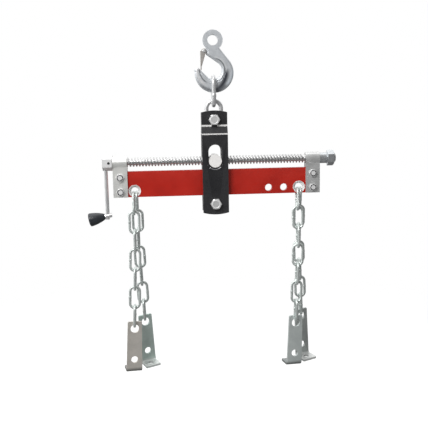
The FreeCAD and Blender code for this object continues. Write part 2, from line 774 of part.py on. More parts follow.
def make_screw_stops():
    """Sleeve and nut that hold the right end of the screw in its strap."""
    start = D.bar_shift + BAR_END + D.seat_gap
    bore = "Dims.journal_dia / 2 + Dims.shaft_gap"
    where = place(start, 0, SCREW_Z, TO_RIGHT)
    tube = cylinder("SleeveTube", where, "Dims.sleeve_dia / 2", "Dims.sleeve_length")
    node(cut("Sleeve", tube, cylinder("SleeveBore", where, bore, "Dims.sleeve_length")), "stop_sleeve")
    where = place(start + D.sleeve_length, 0, SCREW_Z, TO_RIGHT_CORNER_UP)
    nut = hex_prism("EndNut", where, "Dims.end_nut_flats", "Dims.end_nut_height")
    node(cut("EndNutBored", nut, cylinder("EndNutBore", where, bore, "Dims.end_nut_height")), "end_nut")


# Crank

def make_crank():
    """Hex hub on the screw, its set screw, the arm, and the knob on its pin."""
    shift = D.bar_shift
    screw_end = shift + ARM_X + D.arm_dia / 2 + D.side_gap
    hub_outer, arm_x = shift + HUB_OUTER, shift + ARM_X
    hub = hex_prism("Hub", place(hub_outer, 0, SCREW_Z, TO_RIGHT_CORNER_UP), "Dims.hub_flats",
                    "Dims.hub_length", chamfered=False)
    bore = cylinder("HubBore", place(screw_end, 0, SCREW_Z, TO_RIGHT),
                    "Dims.journal_dia / 2 + Dims.shaft_gap", "Dims.hub_length")
    corner = D.hub_flats / 2 * HEX_CORNER
    socket = cylinder("HubSocket", place(arm_x, 0, SCREW_Z - corner), "Dims.arm_dia / 2 + Dims.shaft_gap",
                      f"Dims.hub_flats / 2 * {HEX_CORNER} + Dims.arm_sink + Dims.seat_gap")
    screw_x = screw_end + D.set_screw_dia / 2
    front = -D.hub_flats / 2
    tapped = cylinder("HubTapped", place(screw_x, front, SCREW_Z, TO_REAR),
                      "Dims.set_screw_dia / 2 + Dims.shaft_gap", "Dims.hub_flats / 2")
    node(cut("HubBored", hub, fuse("HubHoles", bore, socket, tapped)), "crank_hub")

    screw_length = "Dims.hub_flats / 2 - Dims.journal_dia / 2 - Dims.seat_gap"
    seat = -D.journal_dia / 2
    shank = cylinder("SetScrewShank", place(screw_x, seat, SCREW_Z, TO_FRONT), "Dims.set_screw_dia / 2",
                     screw_length)
    key = hex_prism("SetScrewKey", place(screw_x, front, SCREW_Z, TO_REAR), "Dims.set_screw_key",
                    "Dims.set_screw_key / 2", chamfered=False)
    node(cut("SetScrew", shank, key), "hub_set_screw")

    rod = cylinder("ArmRod", place(arm_x, 0, KNOB_Z - D.arm_end), "Dims.arm_dia / 2",
                   "Dims.arm_end + Dims.crank_radius + Dims.arm_sink")
    eye_half = D.arm_eye_width / 2
    eye = cylinder("ArmEye", on_pin(arm_x, -eye_half), "Dims.arm_eye_dia / 2", "Dims.arm_eye_width")
    pin_bore = cylinder("ArmPinBore", on_pin(arm_x, -eye_half), "Dims.knob_pin_dia / 2 + Dims.shaft_gap",
                        "Dims.arm_eye_width")
    node(cut("CrankArm", fuse("ArmBody", rod, eye), pin_bore), "crank_arm")

    knob_start = -eye_half - D.seat_gap
    make_knob(knob_frame(arm_x).multiply(place(x=knob_start)))
    pin_left = on_pin(arm_x, knob_start - D.knob_length + D.knob_pin_cap)
    length = "Dims.arm_eye_width + Dims.seat_gap + Dims.knob_length - Dims.knob_pin_cap"
    shaft = cylinder("KnobPinShaft", pin_left, "Dims.knob_pin_dia / 2", length)
    head = cylinder("KnobPinHead", on_pin(arm_x, eye_half), "Dims.knob_pin_head / 2", "Dims.knob_pin_cap")
    tail = cylinder("KnobPinTail", pin_left, "Dims.knob_pin_head / 2 - Dims.pivot_gap",
                    "Dims.knob_pin_cap - Dims.seat_gap")
    node(fuse("KnobPin", shaft, head, tail), "knob_pin")


def knob_frame(arm_x):
    """The frame at the eye of the arm, its X along the pin, which leans down to the left."""
    return place(arm_x, 0, KNOB_Z, FreeCAD.Rotation(Y_AXIS, -D.knob_lean))


def on_pin(arm_x, along):
    """A place on the pin that far from the eye, for a cylinder along the pin."""
    return knob_frame(arm_x).multiply(place(x=along, turn=TO_RIGHT))


def make_knob(where):
    """Tapered grip that turns freely on the crank pin."""
    length, cap, edge = D.knob_length, D.knob_pin_cap, D.knob_edge
    wide, neck = D.knob_dia / 2, D.knob_neck / 2
    pin = D.knob_pin_dia / 2 + D.pivot_gap
    recess = D.knob_pin_head / 2 + D.pivot_gap
    widest = length - edge
    seat = length - 2 * cap
    bulge = (wide + neck) / 2 + cap / 2
    diagonal = math.sqrt(0.5)
    body = new_body("Knob")
    profile = sketch_on(body, "KnobProfile", "XZ_Plane")
    outline(
        profile, (0.0, pin), (0.0, neck), ((-widest / 2, bulge), (-widest, wide)),
        ((-widest - edge * diagonal, wide - edge * (1 - diagonal)), (-length, wide - edge)),
        (-length, recess), (-seat, recess), (-seat, pin),
    )
    revolve(body, profile, "H_Axis")
    body.Placement = where
    return node(body, "crank_knob")


# Chains

def link_step():
    """The distance from one link's top bend to the next one's."""
    return D.chain_length - 2 * D.chain_wire - D.seat_gap


def strand_turn(link, depth):
    """The rotation of a link, counted from 0, in a front (-1) or rear (1) strand."""
    if link == 0:
        return FreeCAD.Rotation(X_AXIS, depth * D.first_splay)
    if link < 3:
        return FreeCAD.Rotation(X_AXIS, depth * D.upper_splay)
    splay = FreeCAD.Rotation(X_AXIS, depth * D.lower_splay)
    return splay * FreeCAD.Rotation(Y_AXIS, -depth * D.strand_lean)


def strand_frames():
    """Each strand's name, its facing, and the frame at the top bend of each of its links."""
    reach = D.hole_dia / 2 - D.chain_wire / 2 - D.seat_gap
    side_step = D.chain_wire / 2 + D.seat_gap
    bend_z = BAR_BOTTOM_Z + D.hole_rise - math.sqrt(reach ** 2 - side_step ** 2)
    strands = []
    for hand, side in (("left", -1), ("right", 1)):
        for face, depth in (("front", -1), ("rear", 1)):
            x = D.bar_shift + side * CHAIN_HOLE_X + depth * side_step
            at = vec(x, -depth * D.first_shift, bend_z)
            frames = []
            for link in range(int(D.link_count)):
                frame = FreeCAD.Placement(at, strand_turn(link, depth))
                frames.append(frame)
                at = frame.multVec(vec(z=-link_step()))
            strands.append((f"{hand}_{face}", depth, frames))
    return strands


def make_bracket_master():
    """Angle bracket about its chain hole, face to the front and foot to the rear."""
    thick, bend = D.bracket_thick, D.bracket_bend
    top = D.eyelet_drop
    bottom = top - D.bracket_height
    near, far = -thick / 2, thick / 2
    toe = near + D.bracket_foot
    outer = bend + thick
    diagonal = math.sqrt(0.5)
    body = new_body("Bracket")
    profile = sketch_on(body, "BracketProfile", "YZ_Plane")
    outline(
        profile, (near, top), (near, bottom + outer),
        ((near + outer * (1 - diagonal), bottom + outer * (1 - diagonal)), (near + outer, bottom)),
        (toe, bottom), (toe, bottom + thick), (far + bend, bottom + thick),
        ((far + bend * (1 - diagonal), bottom + thick + bend * (1 - diagonal)),
         (far, bottom + thick + bend)),
        (far, top),
    )
    pad(body, profile, "Dims.bracket_foot_width", symmetric=True)
    half_top, half_foot = D.bracket_top_width / 2, D.bracket_foot_width / 2
    corner = D.bracket_corner
    sides = sketch_on(body, "BracketSides", "XZ_Plane")
    for hand in (-1, 1):
        outline(
            sides, (hand * half_foot, bottom + outer), (hand * half_top, top - corner),
            ((hand * (half_top - corner * (1 - diagonal)), top - corner * (1 - diagonal)),
             (hand * (half_top - corner), top)),
            (hand * (half_top - corner), top + corner), (hand * (half_foot + corner), top + corner),
            (hand * (half_foot + corner), bottom + outer),
        )
    pocket(body, sides)
    holes = sketch_on(body, "BracketHoles", "XZ_Plane")
    circle(holes, 0, 0, "Dims.eyelet_dia / 2")
    circle(holes, 0, bottom + D.bracket_bolt_rise, "Dims.bracket_bolt_hole / 2")
    pocket(body, holes)
    foot = sketch_on(body, "BracketFootHole", "XY_Plane")
    circle(foot, 0, toe - D.foot_hole_inset, "Dims.foot_hole / 2")
    pocket(body, foot)

    def toe_corner(edge):
        return runs_along(edge, Z_AXIS) and abs(edge.BoundBox.Center.y - toe) < 1e-6

    fillet(body, "BracketToe", "Dims.bracket_corner", toe_corner)
    return body


def make_chains():
    """Four strands of links, each turned a quarter from the last, with a bracket at the end."""
    link = link_master("ChainLink", "Dims.chain_wire", "Dims.chain_width", "Dims.chain_length")
    bracket = make_bracket_master()
    span = D.chain_length - D.chain_wire
    hang = D.eyelet_dia / 2 - D.chain_wire / 2 - D.eyelet_gap
    edge_on = FreeCAD.Rotation(Z_AXIS, 90)
    for strand, depth, frames in strand_frames():
        for i, frame in enumerate(frames):
            turn = edge_on if i % 2 == 0 else UPRIGHT
            placed_link(link, f"{strand}_link_{i + 1}", frame.multiply(place(z=-span / 2, turn=turn)))
        yaw = D.front_bracket_turn if depth < 0 else 180 + D.rear_bracket_turn
        where = frames[-1].multiply(place(z=-span - hang, turn=FreeCAD.Rotation(Z_AXIS, yaw)))
        placed_link(bracket, f"{strand}_bracket", where)


def write_parts():
    """Check every object and shape, then write one file for each node."""
    doc.recompute()
    failed = [o.Name for o in doc.Objects if "Invalid" in o.State or "Error" in o.State]
    if failed:
        raise ValueError(f"objects failed: {failed}")
    bad = [n.Label for n in nodes if n.Shape.isNull() or not n.Shape.isValid()]
    if bad:
        raise ValueError(f"shapes not sound: {bad}")
    os.makedirs("parts", exist_ok=True)
    for piece in nodes:
        piece.Shape.exportStep(f"parts/{piece.Label}.step")
    print(len(nodes), "nodes written")


make_hook()
make_latch()
make_heavy_links()
make_hanger()
make_roller()
make_travelling_nut()
make_bar()
make_straps()
make_screw()
make_screw_stops()
make_crank()
make_chains()
write_parts()
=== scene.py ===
"""Looks of the engine load leveler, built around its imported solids."""
from __future__ import annotations

import json
import logging
import math
from abc import ABC, abstractmethod
from dataclasses import dataclass, replace
from enum import Enum
from typing import Sequence

import bmesh
import bpy
from mathutils import Matrix, Vector

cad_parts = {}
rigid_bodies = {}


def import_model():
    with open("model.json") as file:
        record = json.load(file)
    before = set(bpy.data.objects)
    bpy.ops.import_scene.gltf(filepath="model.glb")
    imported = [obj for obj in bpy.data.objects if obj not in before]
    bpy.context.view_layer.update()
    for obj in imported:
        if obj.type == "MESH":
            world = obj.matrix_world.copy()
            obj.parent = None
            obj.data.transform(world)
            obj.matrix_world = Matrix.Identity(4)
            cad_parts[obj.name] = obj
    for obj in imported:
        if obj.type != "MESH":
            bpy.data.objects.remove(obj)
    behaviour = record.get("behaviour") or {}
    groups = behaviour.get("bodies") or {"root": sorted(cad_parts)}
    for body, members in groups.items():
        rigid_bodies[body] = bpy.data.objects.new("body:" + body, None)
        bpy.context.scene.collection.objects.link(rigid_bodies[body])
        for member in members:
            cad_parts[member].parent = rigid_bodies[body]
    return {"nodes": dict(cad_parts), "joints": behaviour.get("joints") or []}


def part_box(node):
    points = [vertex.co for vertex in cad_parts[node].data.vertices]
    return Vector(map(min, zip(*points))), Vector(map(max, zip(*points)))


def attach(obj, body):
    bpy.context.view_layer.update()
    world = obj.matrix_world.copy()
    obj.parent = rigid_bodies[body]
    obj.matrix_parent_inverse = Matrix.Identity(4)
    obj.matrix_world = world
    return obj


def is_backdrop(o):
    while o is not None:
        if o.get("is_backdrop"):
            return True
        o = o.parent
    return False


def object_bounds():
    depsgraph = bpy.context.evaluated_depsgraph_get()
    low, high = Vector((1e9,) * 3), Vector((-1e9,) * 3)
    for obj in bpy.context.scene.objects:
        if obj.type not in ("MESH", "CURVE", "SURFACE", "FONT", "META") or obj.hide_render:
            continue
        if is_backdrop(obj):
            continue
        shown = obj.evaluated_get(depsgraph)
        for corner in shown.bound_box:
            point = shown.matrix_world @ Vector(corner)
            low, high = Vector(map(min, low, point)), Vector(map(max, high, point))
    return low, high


LOG = logging.getLogger("load_leveler")

MM = 0.001
FULL_TURN = 2 * math.pi
IMAGE_WIDTH = 428
SAME_POINT = 0.002 * MM
SPIN_SEAM = 1e-5
ARC_STEP = 4.0
FLAT_ANGLE = math.radians(1.0)
SHARP_ANGLE = math.radians(38.0)
EDGE_SEGMENTS = 2
FRONT = -1.0
REAR = 1.0
FORWARD = Vector((0.0, FRONT, 0.0))
BACKWARD = Vector((0.0, REAR, 0.0))
UPWARD = Vector((0.0, 0.0, 1.0))
WHITE = (1.0, 1.0, 1.0, 1.0)
BOWL_CENTRE = (0.0, -55.7)

RGB = tuple[float, float, float]
Triple = tuple[float, float, float]
Point = tuple[float, float]


class Slot(Enum):
    """Material slots of the record, named where pieces are added."""

    ZINC = "zinc"
    CHAIN_ZINC = "chain_zinc"
    STEEL = "steel"
    BLACK_PAINT = "black_paint"


class Axis(Enum):
    """Axis that a turned face has its rings around."""

    X = "X"
    Y = "Y"


class NodeBench:
    """Lays out the nodes of one material around its shader."""

    noise_low: float = 0.3
    noise_high: float = 0.7
    ring_wobble: float = 0.6
    flat_edge: float = 0.52
    sharp_edge: float = 0.62
    wear_spots: float = 260.0
    least_wear: float = 0.3

    def __init__(self, name: str) -> None:
        """Starts a material with its shader and Object coordinates.

        Args:
            name: Name of the new material.
        """
        self.material = bpy.data.materials.new(name)
        self.material.use_nodes = True
        self.tree = self.material.node_tree
        self.shader = self.tree.nodes["Principled BSDF"]
        self.place = self.tree.nodes.new("ShaderNodeTexCoord").outputs["Object"]

    def link(self, source: bpy.types.NodeSocket, target: bpy.types.NodeSocket) -> None:
        """Joins two sockets."""
        self.tree.links.new(source, target)

    def mapped(self, stretch: Sequence[float], centre: Sequence[float]) -> bpy.types.NodeSocket:
        """Moves and stretches the Object coordinates.

        Args:
            stretch: Scale along each axis.
            centre: Point that becomes the pattern's middle, in metres.

        Returns:
            The mapped vector.
        """
        mapping = self.tree.nodes.new("ShaderNodeMapping")
        mapping.inputs["Scale"].default_value = tuple(stretch)
        mapping.inputs["Location"].default_value = tuple(-c * s for c, s in zip(centre, stretch))
        self.link(self.place, mapping.inputs["Vector"])
        return mapping.outputs["Vector"]

    def noise(
        self, scale: float, detail: float = 3.0, stretch: Sequence[float] = (1, 1, 1)
    ) -> bpy.types.NodeSocket:
        """Adds a noise pattern.

        Args:
            scale: Spots per metre.
            detail: Octaves of finer spots.
            stretch: Scale along each axis, for streaks.

        Returns:
            The noise value.
        """
        noise = self.tree.nodes.new("ShaderNodeTexNoise")
        noise.inputs["Scale"].default_value = scale
        noise.inputs["Detail"].default_value = detail
        self.link(self.mapped(stretch, (0, 0, 0)), noise.inputs["Vector"])
        return noise.outputs["Fac"]

    def rings(self, axis: Axis, centre: Sequence[float], per_metre: float) -> bpy.types.NodeSocket:
        """Adds fine tool rings around an axis.

        Args:
            axis: Axis of the rings.
            centre: Point on that axis, in metres.
            per_metre: How close the rings are.

        Returns:
            The ring value.
        """
        wave = self.tree.nodes.new("ShaderNodeTexWave")
        wave.wave_type = "RINGS"
        wave.rings_direction = axis.value
        wave.inputs["Scale"].default_value = per_metre
        wave.inputs["Distortion"].default_value = self.ring_wobble
        self.link(self.mapped((1, 1, 1), centre), wave.inputs["Vector"])
        return wave.outputs["Fac"]

    def ramp(
        self, source: bpy.types.NodeSocket, stops: Sequence[tuple[float, RGB]]
    ) -> bpy.types.NodeSocket:
        """Turns a value into a colour.

        Args:
            source: Value from 0 to 1.
            stops: Places along the ramp with their colours.

        Returns:
            The colour.
        """
        ramp = self.tree.nodes.new("ShaderNodeValToRGB")
        elements = ramp.color_ramp.elements
        while len(elements) < len(stops):
            elements.new(0.5)
        for element, (position, colour) in zip(elements, stops):
            element.position = position
            element.color = (*colour, 1.0)
        self.link(source, ramp.inputs["Fac"])
        return ramp.outputs["Color"]

    def span(self, source: bpy.types.NodeSocket, low: float, high: float) -> bpy.types.NodeSocket:
        """Spreads a noise value over a range.

        Args:
            source: Noise value.
            low: Result where the noise is low.
            high: Result where the noise is high.

        Returns:
            The spread value.
        """
        spread = self.tree.nodes.new("ShaderNodeMapRange")
        spread.inputs["From Min"].default_value = self.noise_low
        spread.inputs["From Max"].default_value = self.noise_high
        spread.inputs["To Min"].default_value = low
        spread.inputs["To Max"].default_value = high
        self.link(source, spread.inputs["Value"])
        return spread.outputs["Result"]

    def bump(self, height: bpy.types.NodeSocket, strength: float, depth: float) -> None:
        """Roughens the surface.

        Args:
            height: Height value.
            strength: How strongly it shows.
            depth: Depth of the marks in metres.
        """
        bump = self.tree.nodes.new("ShaderNodeBump")
        bump.inputs["Strength"].default_value = strength
        bump.inputs["Distance"].default_value = depth
        self.link(height, bump.inputs["Height"])
        self.link(bump.outputs["Normal"], self.shader.inputs["Normal"])

    def distance(self, stretch: Sequence[float], centre: Sequence[float]) -> bpy.types.NodeSocket:
        """Measures how far a point is from a centre, counting only some axes.

        Args:
            stretch: 1 for each axis that counts, 0 for the others.
            centre: Where the distance is zero, in metres.

        Returns:
            The distance in metres.
        """
        length = self.tree.nodes.new("ShaderNodeVectorMath")
        length.operation = "LENGTH"
        self.link(self.mapped(stretch, centre), length.inputs[0])
        return length.outputs["Value"]

    def fade(
        self, source: bpy.types.NodeSocket, near: float, far: float, inside: float, outside: float = 0.0
    ) -> bpy.types.NodeSocket:
        """Turns a distance into a mask.

        Args:
            source: Distance in metres.
            near: Distance in millimetres up to which the mask has its inside value.
            far: Distance in millimetres from which it has its outside value.
            inside: Value near the centre.
            outside: Value far from it.

        Returns:
            The mask.
        """
        spread = self.tree.nodes.new("ShaderNodeMapRange")
        spread.interpolation_type = "SMOOTHSTEP"
        spread.inputs["From Min"].default_value = near * MM
        spread.inputs["From Max"].default_value = far * MM
        spread.inputs["To Min"].default_value = inside
        spread.inputs["To Max"].default_value = outside
        self.link(source, spread.inputs["Value"])
        return spread.outputs["Result"]

    def product(self, first: bpy.types.NodeSocket, second: bpy.types.NodeSocket) -> bpy.types.NodeSocket:
        """Multiplies two masks."""
        both = self.tree.nodes.new("ShaderNodeMath")
        both.operation = "MULTIPLY"
        self.link(first, both.inputs[0])
        self.link(second, both.inputs[1])
        return both.outputs["Value"]

    def over(
        self, colour: bpy.types.NodeSocket, top: RGB, mask: bpy.types.NodeSocket
    ) -> bpy.types.NodeSocket:
        """Lays a plain colour over another through a mask.

        Args:
            colour: Colour below.
            top: Colour laid over it.
            mask: Share of the top colour.

        Returns:
            The blended colour.
        """
        blend = self.tree.nodes.new("ShaderNodeMix")
        blend.data_type = "RGBA"
        blend.inputs["B"].default_value = (*top, 1.0)
        self.link(mask, blend.inputs["Factor"])
        self.link(colour, blend.inputs["A"])
        return blend.outputs["Result"]

    def worn(self, colour: bpy.types.NodeSocket, bare: RGB, amount: float) -> bpy.types.NodeSocket:
        """Lightens a colour along convex edges, broken up by a noise.

        Args:
            colour: Colour of the whole surface.
            bare: Colour of the rubbed edges.
            amount: Share of the bare colour on the sharpest edges.

        Returns:
            The colour with its worn edges.
        """
        shape = self.tree.nodes.new("ShaderNodeNewGeometry")
        sharp = self.tree.nodes.new("ShaderNodeMapRange")
        sharp.inputs["From Min"].default_value = self.flat_edge
        sharp.inputs["From Max"].default_value = self.sharp_edge
        sharp.inputs["To Max"].default_value = amount
        self.link(shape.outputs["Pointiness"], sharp.inputs["Value"])
        spots = self.span(self.noise(self.wear_spots, detail=4.0), self.least_wear, 1.0)
        return self.over(colour, bare, self.product(sharp.outputs["Result"], spots))

    def colour(self, source: bpy.types.NodeSocket) -> None:
        """Feeds the base colour."""
        self.link(source, self.shader.inputs["Base Color"])

    def roughness(self, source: bpy.types.NodeSocket) -> None:
        """Feeds the roughness."""
        self.link(source, self.shader.inputs["Roughness"])

    def fixed(self, **values: float) -> None:
        """Sets shader sockets that are the same all over, named with underscores."""
        for key, value in values.items():
            self.shader.inputs[key.replace("_", " ")].default_value = value


@dataclass(frozen=True)
class PaintedLightBand:
    """Soft curved band of painted light on a face that looks along Y, in millimetres: painted highlight
    where its tone is lighter, painted shade and painted dark reflection where darker.
    """

    centre: Point
    radius: float
    half: float
    focus: Point
    reach: float
    tone: RGB
    amount: float
    core: float = 0.55

    def lay(self, bench: NodeBench, colour: bpy.types.NodeSocket) -> bpy.types.NodeSocket:
        """Lays the band of painted light over a colour.

        Args:
            bench: Bench of the material.
            colour: Colour below the band.

        Returns:
            The colour with the band.
        """
        away = bench.distance((1, 0, 1), (self.centre[0] * MM, 0.0, self.centre[1] * MM))
        near = bench.distance((1, 0, 1), (self.focus[0] * MM, 0.0, self.focus[1] * MM))
        inner = bench.fade(away, self.radius - self.half, self.radius, 0.0, 1.0)
        outer = bench.fade(away, self.radius, self.radius + self.half, 1.0, 0.0)
        spot = bench.fade(near, self.reach * self.core, self.reach, self.amount, 0.0)
        return bench.over(colour, self.tone, bench.product(bench.product(inner, outer), spot))


@dataclass(frozen=True)
class Finish(ABC):
    """Look of a surface, from which its material is made."""

    name: str

    @abstractmethod
    def paint(self, bench: NodeBench) -> None:
        """Lays out the nodes of the finish.

        Args:
            bench: Bench of the new material.
        """

    def make(self) -> bpy.types.Material:
        """Builds the material.

        Returns:
            The new material.
        """
        bench = NodeBench(self.name)
        self.paint(bench)
        return bench.material


@dataclass(frozen=True)
class PlatedSteel(Finish):
    """Zinc plate: cloudy passivated colour, fine crystals, a slight grain."""

    light: RGB
    dark: RGB
    smooth: float
    dull: float
    metal: float = 0.6
    cloud: float = 70.0
    crystal: float = 900.0
    grain: float = 0.12
    wear: float = 0.5
    # Bands of painted light laid over the plate's colour.
    painted_light_bands: tuple[PaintedLightBand, ...] = ()
    dark_until: float = 0.28
    light_from: float = 0.72
    bare: RGB = (0.86, 0.86, 0.86)
    grain_per_crystal: float = 2.5
    grain_depth: float = 0.03

    def paint(self, bench: NodeBench) -> None:
        """Lays out the plate."""
        cloud = bench.noise(self.cloud)
        plate = bench.ramp(cloud, ((self.dark_until, self.dark), (self.light_from, self.light)))
        # Painted highlights, painted reflections and painted shade, laid over the plate's colour.
        for painted_band in self.painted_light_bands:
            plate = painted_band.lay(bench, plate)
        bench.colour(bench.worn(plate, self.bare, self.wear))
        bench.roughness(bench.span(bench.noise(self.crystal), self.smooth, self.dull))
        grit = bench.noise(self.crystal * self.grain_per_crystal, detail=2.0)
        bench.bump(grit, self.grain, self.grain_depth * MM)
        bench.fixed(Metallic=self.metal)


@dataclass(frozen=True)
class ThreadedZinc(Finish):
    """Zinc-plated screw thread with painted light in its roots, set against the shade that falls there."""

    centre: Triple
    root: float
    crest: float
    light: RGB = (0.60, 0.60, 0.60)
    dark: RGB = (0.46, 0.46, 0.46)
    painted_root_light: RGB = (0.96, 0.96, 0.96)
    painted_light: float = 0.7
    smooth: float = 0.24
    dull: float = 0.36
    metal: float = 0.8
    cloud: float = 90.0
    crystal: float = 900.0
    scratch: float = 1500.0
    scratch_run: Triple = (0.1, 1.0, 1.0)
    dark_until: float = 0.32
    light_from: float = 0.68
    grain: float = 0.12
    grain_depth: float = 0.03

    def paint(self, bench: NodeBench) -> None:
        """Lays out the plate and the painted light in its roots."""
        cloud = bench.noise(self.cloud, detail=5.0)
        plate = bench.ramp(cloud, ((self.dark_until, self.dark), (self.light_from, self.light)))
        # Painted light, strongest in the thread's roots, set against the shade in them.
        depth = bench.distance((0, 1, 1), self.centre)
        painted_light_layer = bench.fade(depth, self.root, self.crest, self.painted_light)
        bench.colour(bench.over(plate, self.painted_root_light, painted_light_layer))
        bench.roughness(bench.span(bench.noise(self.crystal), self.smooth, self.dull))
        scratches = bench.noise(self.scratch, detail=2.0, stretch=self.scratch_run)
        bench.bump(scratches, self.grain, self.grain_depth * MM)
        bench.fixed(Metallic=self.metal)


@dataclass(frozen=True)
class TurnedSteel(Finish):
    """Machined steel with fine tool rings around its axis."""

    axis: Axis
    centre: Triple
    light: RGB = (0.74, 0.73, 0.71)
    dark: RGB = (0.60, 0.60, 0.59)
    smooth: float = 0.26
    dull: float = 0.4
    metal: float = 0.55
    cloud: float = 160.0
    crystal: float = 1200.0
    tool_marks: float = 420.0
    mark_strength: float = 0.25
    mark_depth: float = 0.05
    dark_until: float = 0.3
    light_from: float = 0.7

    def paint(self, bench: NodeBench) -> None:
        """Lays out the steel and its tool rings."""
        cloud = bench.noise(self.cloud, detail=4.0)
        bench.colour(bench.ramp(cloud, ((self.dark_until, self.dark), (self.light_from, self.light))))
        bench.roughness(bench.span(bench.noise(self.crystal, detail=2.0), self.smooth, self.dull))
        marks = bench.rings(self.axis, self.centre, self.tool_marks)
        bench.bump(marks, self.mark_strength, self.mark_depth * MM)
        bench.fixed(Metallic=self.metal)


@dataclass(frozen=True)
class PaintedHighlightLine:
    """Painted highlight line across a bend, in millimetres, with a gap in the middle of its run where the
    bolt head's painted shadow falls.
    """

    height: float
    half: float
    gap: float


@dataclass(frozen=True)
class Enamel(Finish):
    """Sprayed enamel: a faint orange peel, slight drift in colour and gloss."""

    base: RGB
    deep: RGB
    pale: RGB
    smooth: float
    dull: float
    shine: float
    bare: RGB
    peel: float = 0.1
    specular: float = 0.5
    # Painted highlight lines across the bends, the colour and strength of that painted light, and the soft
    # cores of each line and of its gap.
    painted_highlight_lines: tuple[PaintedHighlightLine, ...] = ()
    painted_light_layer: RGB = (0.74, 0.73, 0.72)
    painted_light: float = 0.92
    painted_highlight_core: float = 0.45
    gap_core: float = 0.8
    wear: float = 0.35
    drift: float = 22.0
    gloss_spots: float = 140.0
    peel_spots: float = 620.0
    peel_depth: float = 0.2
    coat_roughness: float = 0.08
    deep_until: float = 0.3
    base_at: float = 0.5
    pale_from: float = 0.72

    def paint(self, bench: NodeBench) -> None:
        """Lays out the coat, its worn edges and its painted highlight lines."""
        drift = bench.noise(self.drift, detail=6.0)
        coat = bench.ramp(
            drift, ((self.deep_until, self.deep), (self.base_at, self.base), (self.pale_from, self.pale))
        )
        coat = bench.worn(coat, self.bare, self.wear)
        # Painted highlights along the bends, with a gap in the middle of a run: the bolt head's painted
        # shadow.
        for painted_light in self.painted_highlight_lines:
            line = bench.distance((0, 0, 1), (0.0, 0.0, painted_light.height * MM))
            across = bench.distance((1, 0, 0), (0.0, 0.0, 0.0))
            band = bench.fade(line, painted_light.half * self.painted_highlight_core, painted_light.half, self.painted_light)
            sides = bench.fade(across, painted_light.gap * self.gap_core, painted_light.gap, 0.0, 1.0)
            coat = bench.over(coat, self.painted_light_layer, bench.product(band, sides))
        bench.colour(coat)
        bench.roughness(bench.span(bench.noise(self.gloss_spots, detail=4.0), self.smooth, self.dull))
        bench.bump(bench.noise(self.peel_spots, detail=2.0), self.peel, self.peel_depth * MM)
        bench.fixed(
            Metallic=0.0, Coat_Weight=self.shine, Coat_Roughness=self.coat_roughness,
            Specular_IOR_Level=self.specular,
        )


@dataclass(frozen=True)
class MouldedPlastic(Finish):
    """Moulded grip plastic with a fine spark-eroded grain."""

    base: RGB
    pale: RGB
    smooth: float
    dull: float
    cloud: float = 60.0
    gloss_spots: float = 500.0
    grain_spots: float = 1700.0
    grain: float = 0.15
    grain_depth: float = 0.1
    base_until: float = 0.35
    pale_from: float = 0.7

    def paint(self, bench: NodeBench) -> None:
        """Lays out the plastic."""
        cloud = bench.noise(self.cloud, detail=4.0)
        bench.colour(bench.ramp(cloud, ((self.base_until, self.base), (self.pale_from, self.pale))))
        bench.roughness(bench.span(bench.noise(self.gloss_spots), self.smooth, self.dull))
        bench.bump(bench.noise(self.grain_spots), self.grain, self.grain_depth * MM)
        bench.fixed(Metallic=0.0)


BRIGHT_ZINC = PlatedSteel("bright_zinc", (0.82, 0.82, 0.82), (0.71, 0.72, 0.73), 0.26, 0.38, wear=0.3)
# The left strap's zinc is lighter than the right strap's: painted light from the left.
STRAP_ZINCS = {
    "left": PlatedSteel("left_strap_zinc", (0.86, 0.86, 0.83), (0.76, 0.77, 0.75), 0.3, 0.42, metal=0.45),
    "right": PlatedSteel(
        "right_strap_zinc", (0.74, 0.745, 0.74), (0.60, 0.605, 0.60), 0.28, 0.4, metal=0.55
    ),
}
BOLT_ZINC = PlatedSteel("bolt_zinc", (0.84, 0.84, 0.84), (0.73, 0.73, 0.73), 0.28, 0.4, metal=0.5)
RIM_ZINC = PlatedSteel("rim_zinc", (0.92, 0.92, 0.92), (0.82, 0.82, 0.82), 0.3, 0.42, metal=0.3)
# Near-black steel for the thin rings on the strap bolt heads: painted shade.
PAINTED_SHADE_STEEL = PlatedSteel(
    "painted_shade_steel", (0.050, 0.050, 0.055), (0.030, 0.030, 0.035), 0.3, 0.45, wear=0.0
)
CHAIN_ZINC = PlatedSteel(
    "chain_zinc_plate", (0.81, 0.86, 0.84), (0.66, 0.71, 0.69), 0.28, 0.4, metal=0.62, wear=0.0
)
BRACKET_TONES = {
    "left_front": ("beige_bracket_zinc", (0.72, 0.68, 0.62), (0.58, 0.55, 0.50)),
    "left_rear": ("green_bracket_zinc", (0.62, 0.75, 0.70), (0.50, 0.60, 0.56)),
    "right_front": ("blue_bracket_zinc", (0.70, 0.76, 0.74), (0.57, 0.62, 0.61)),
    "right_rear": ("grey_bracket_zinc", (0.56, 0.60, 0.58), (0.44, 0.47, 0.46)),
}
BRACKET_ZINCS = {
    strand: PlatedSteel(*tones, smooth=0.34, dull=0.5, metal=0.45, cloud=45.0)
    for strand, tones in BRACKET_TONES.items()
}
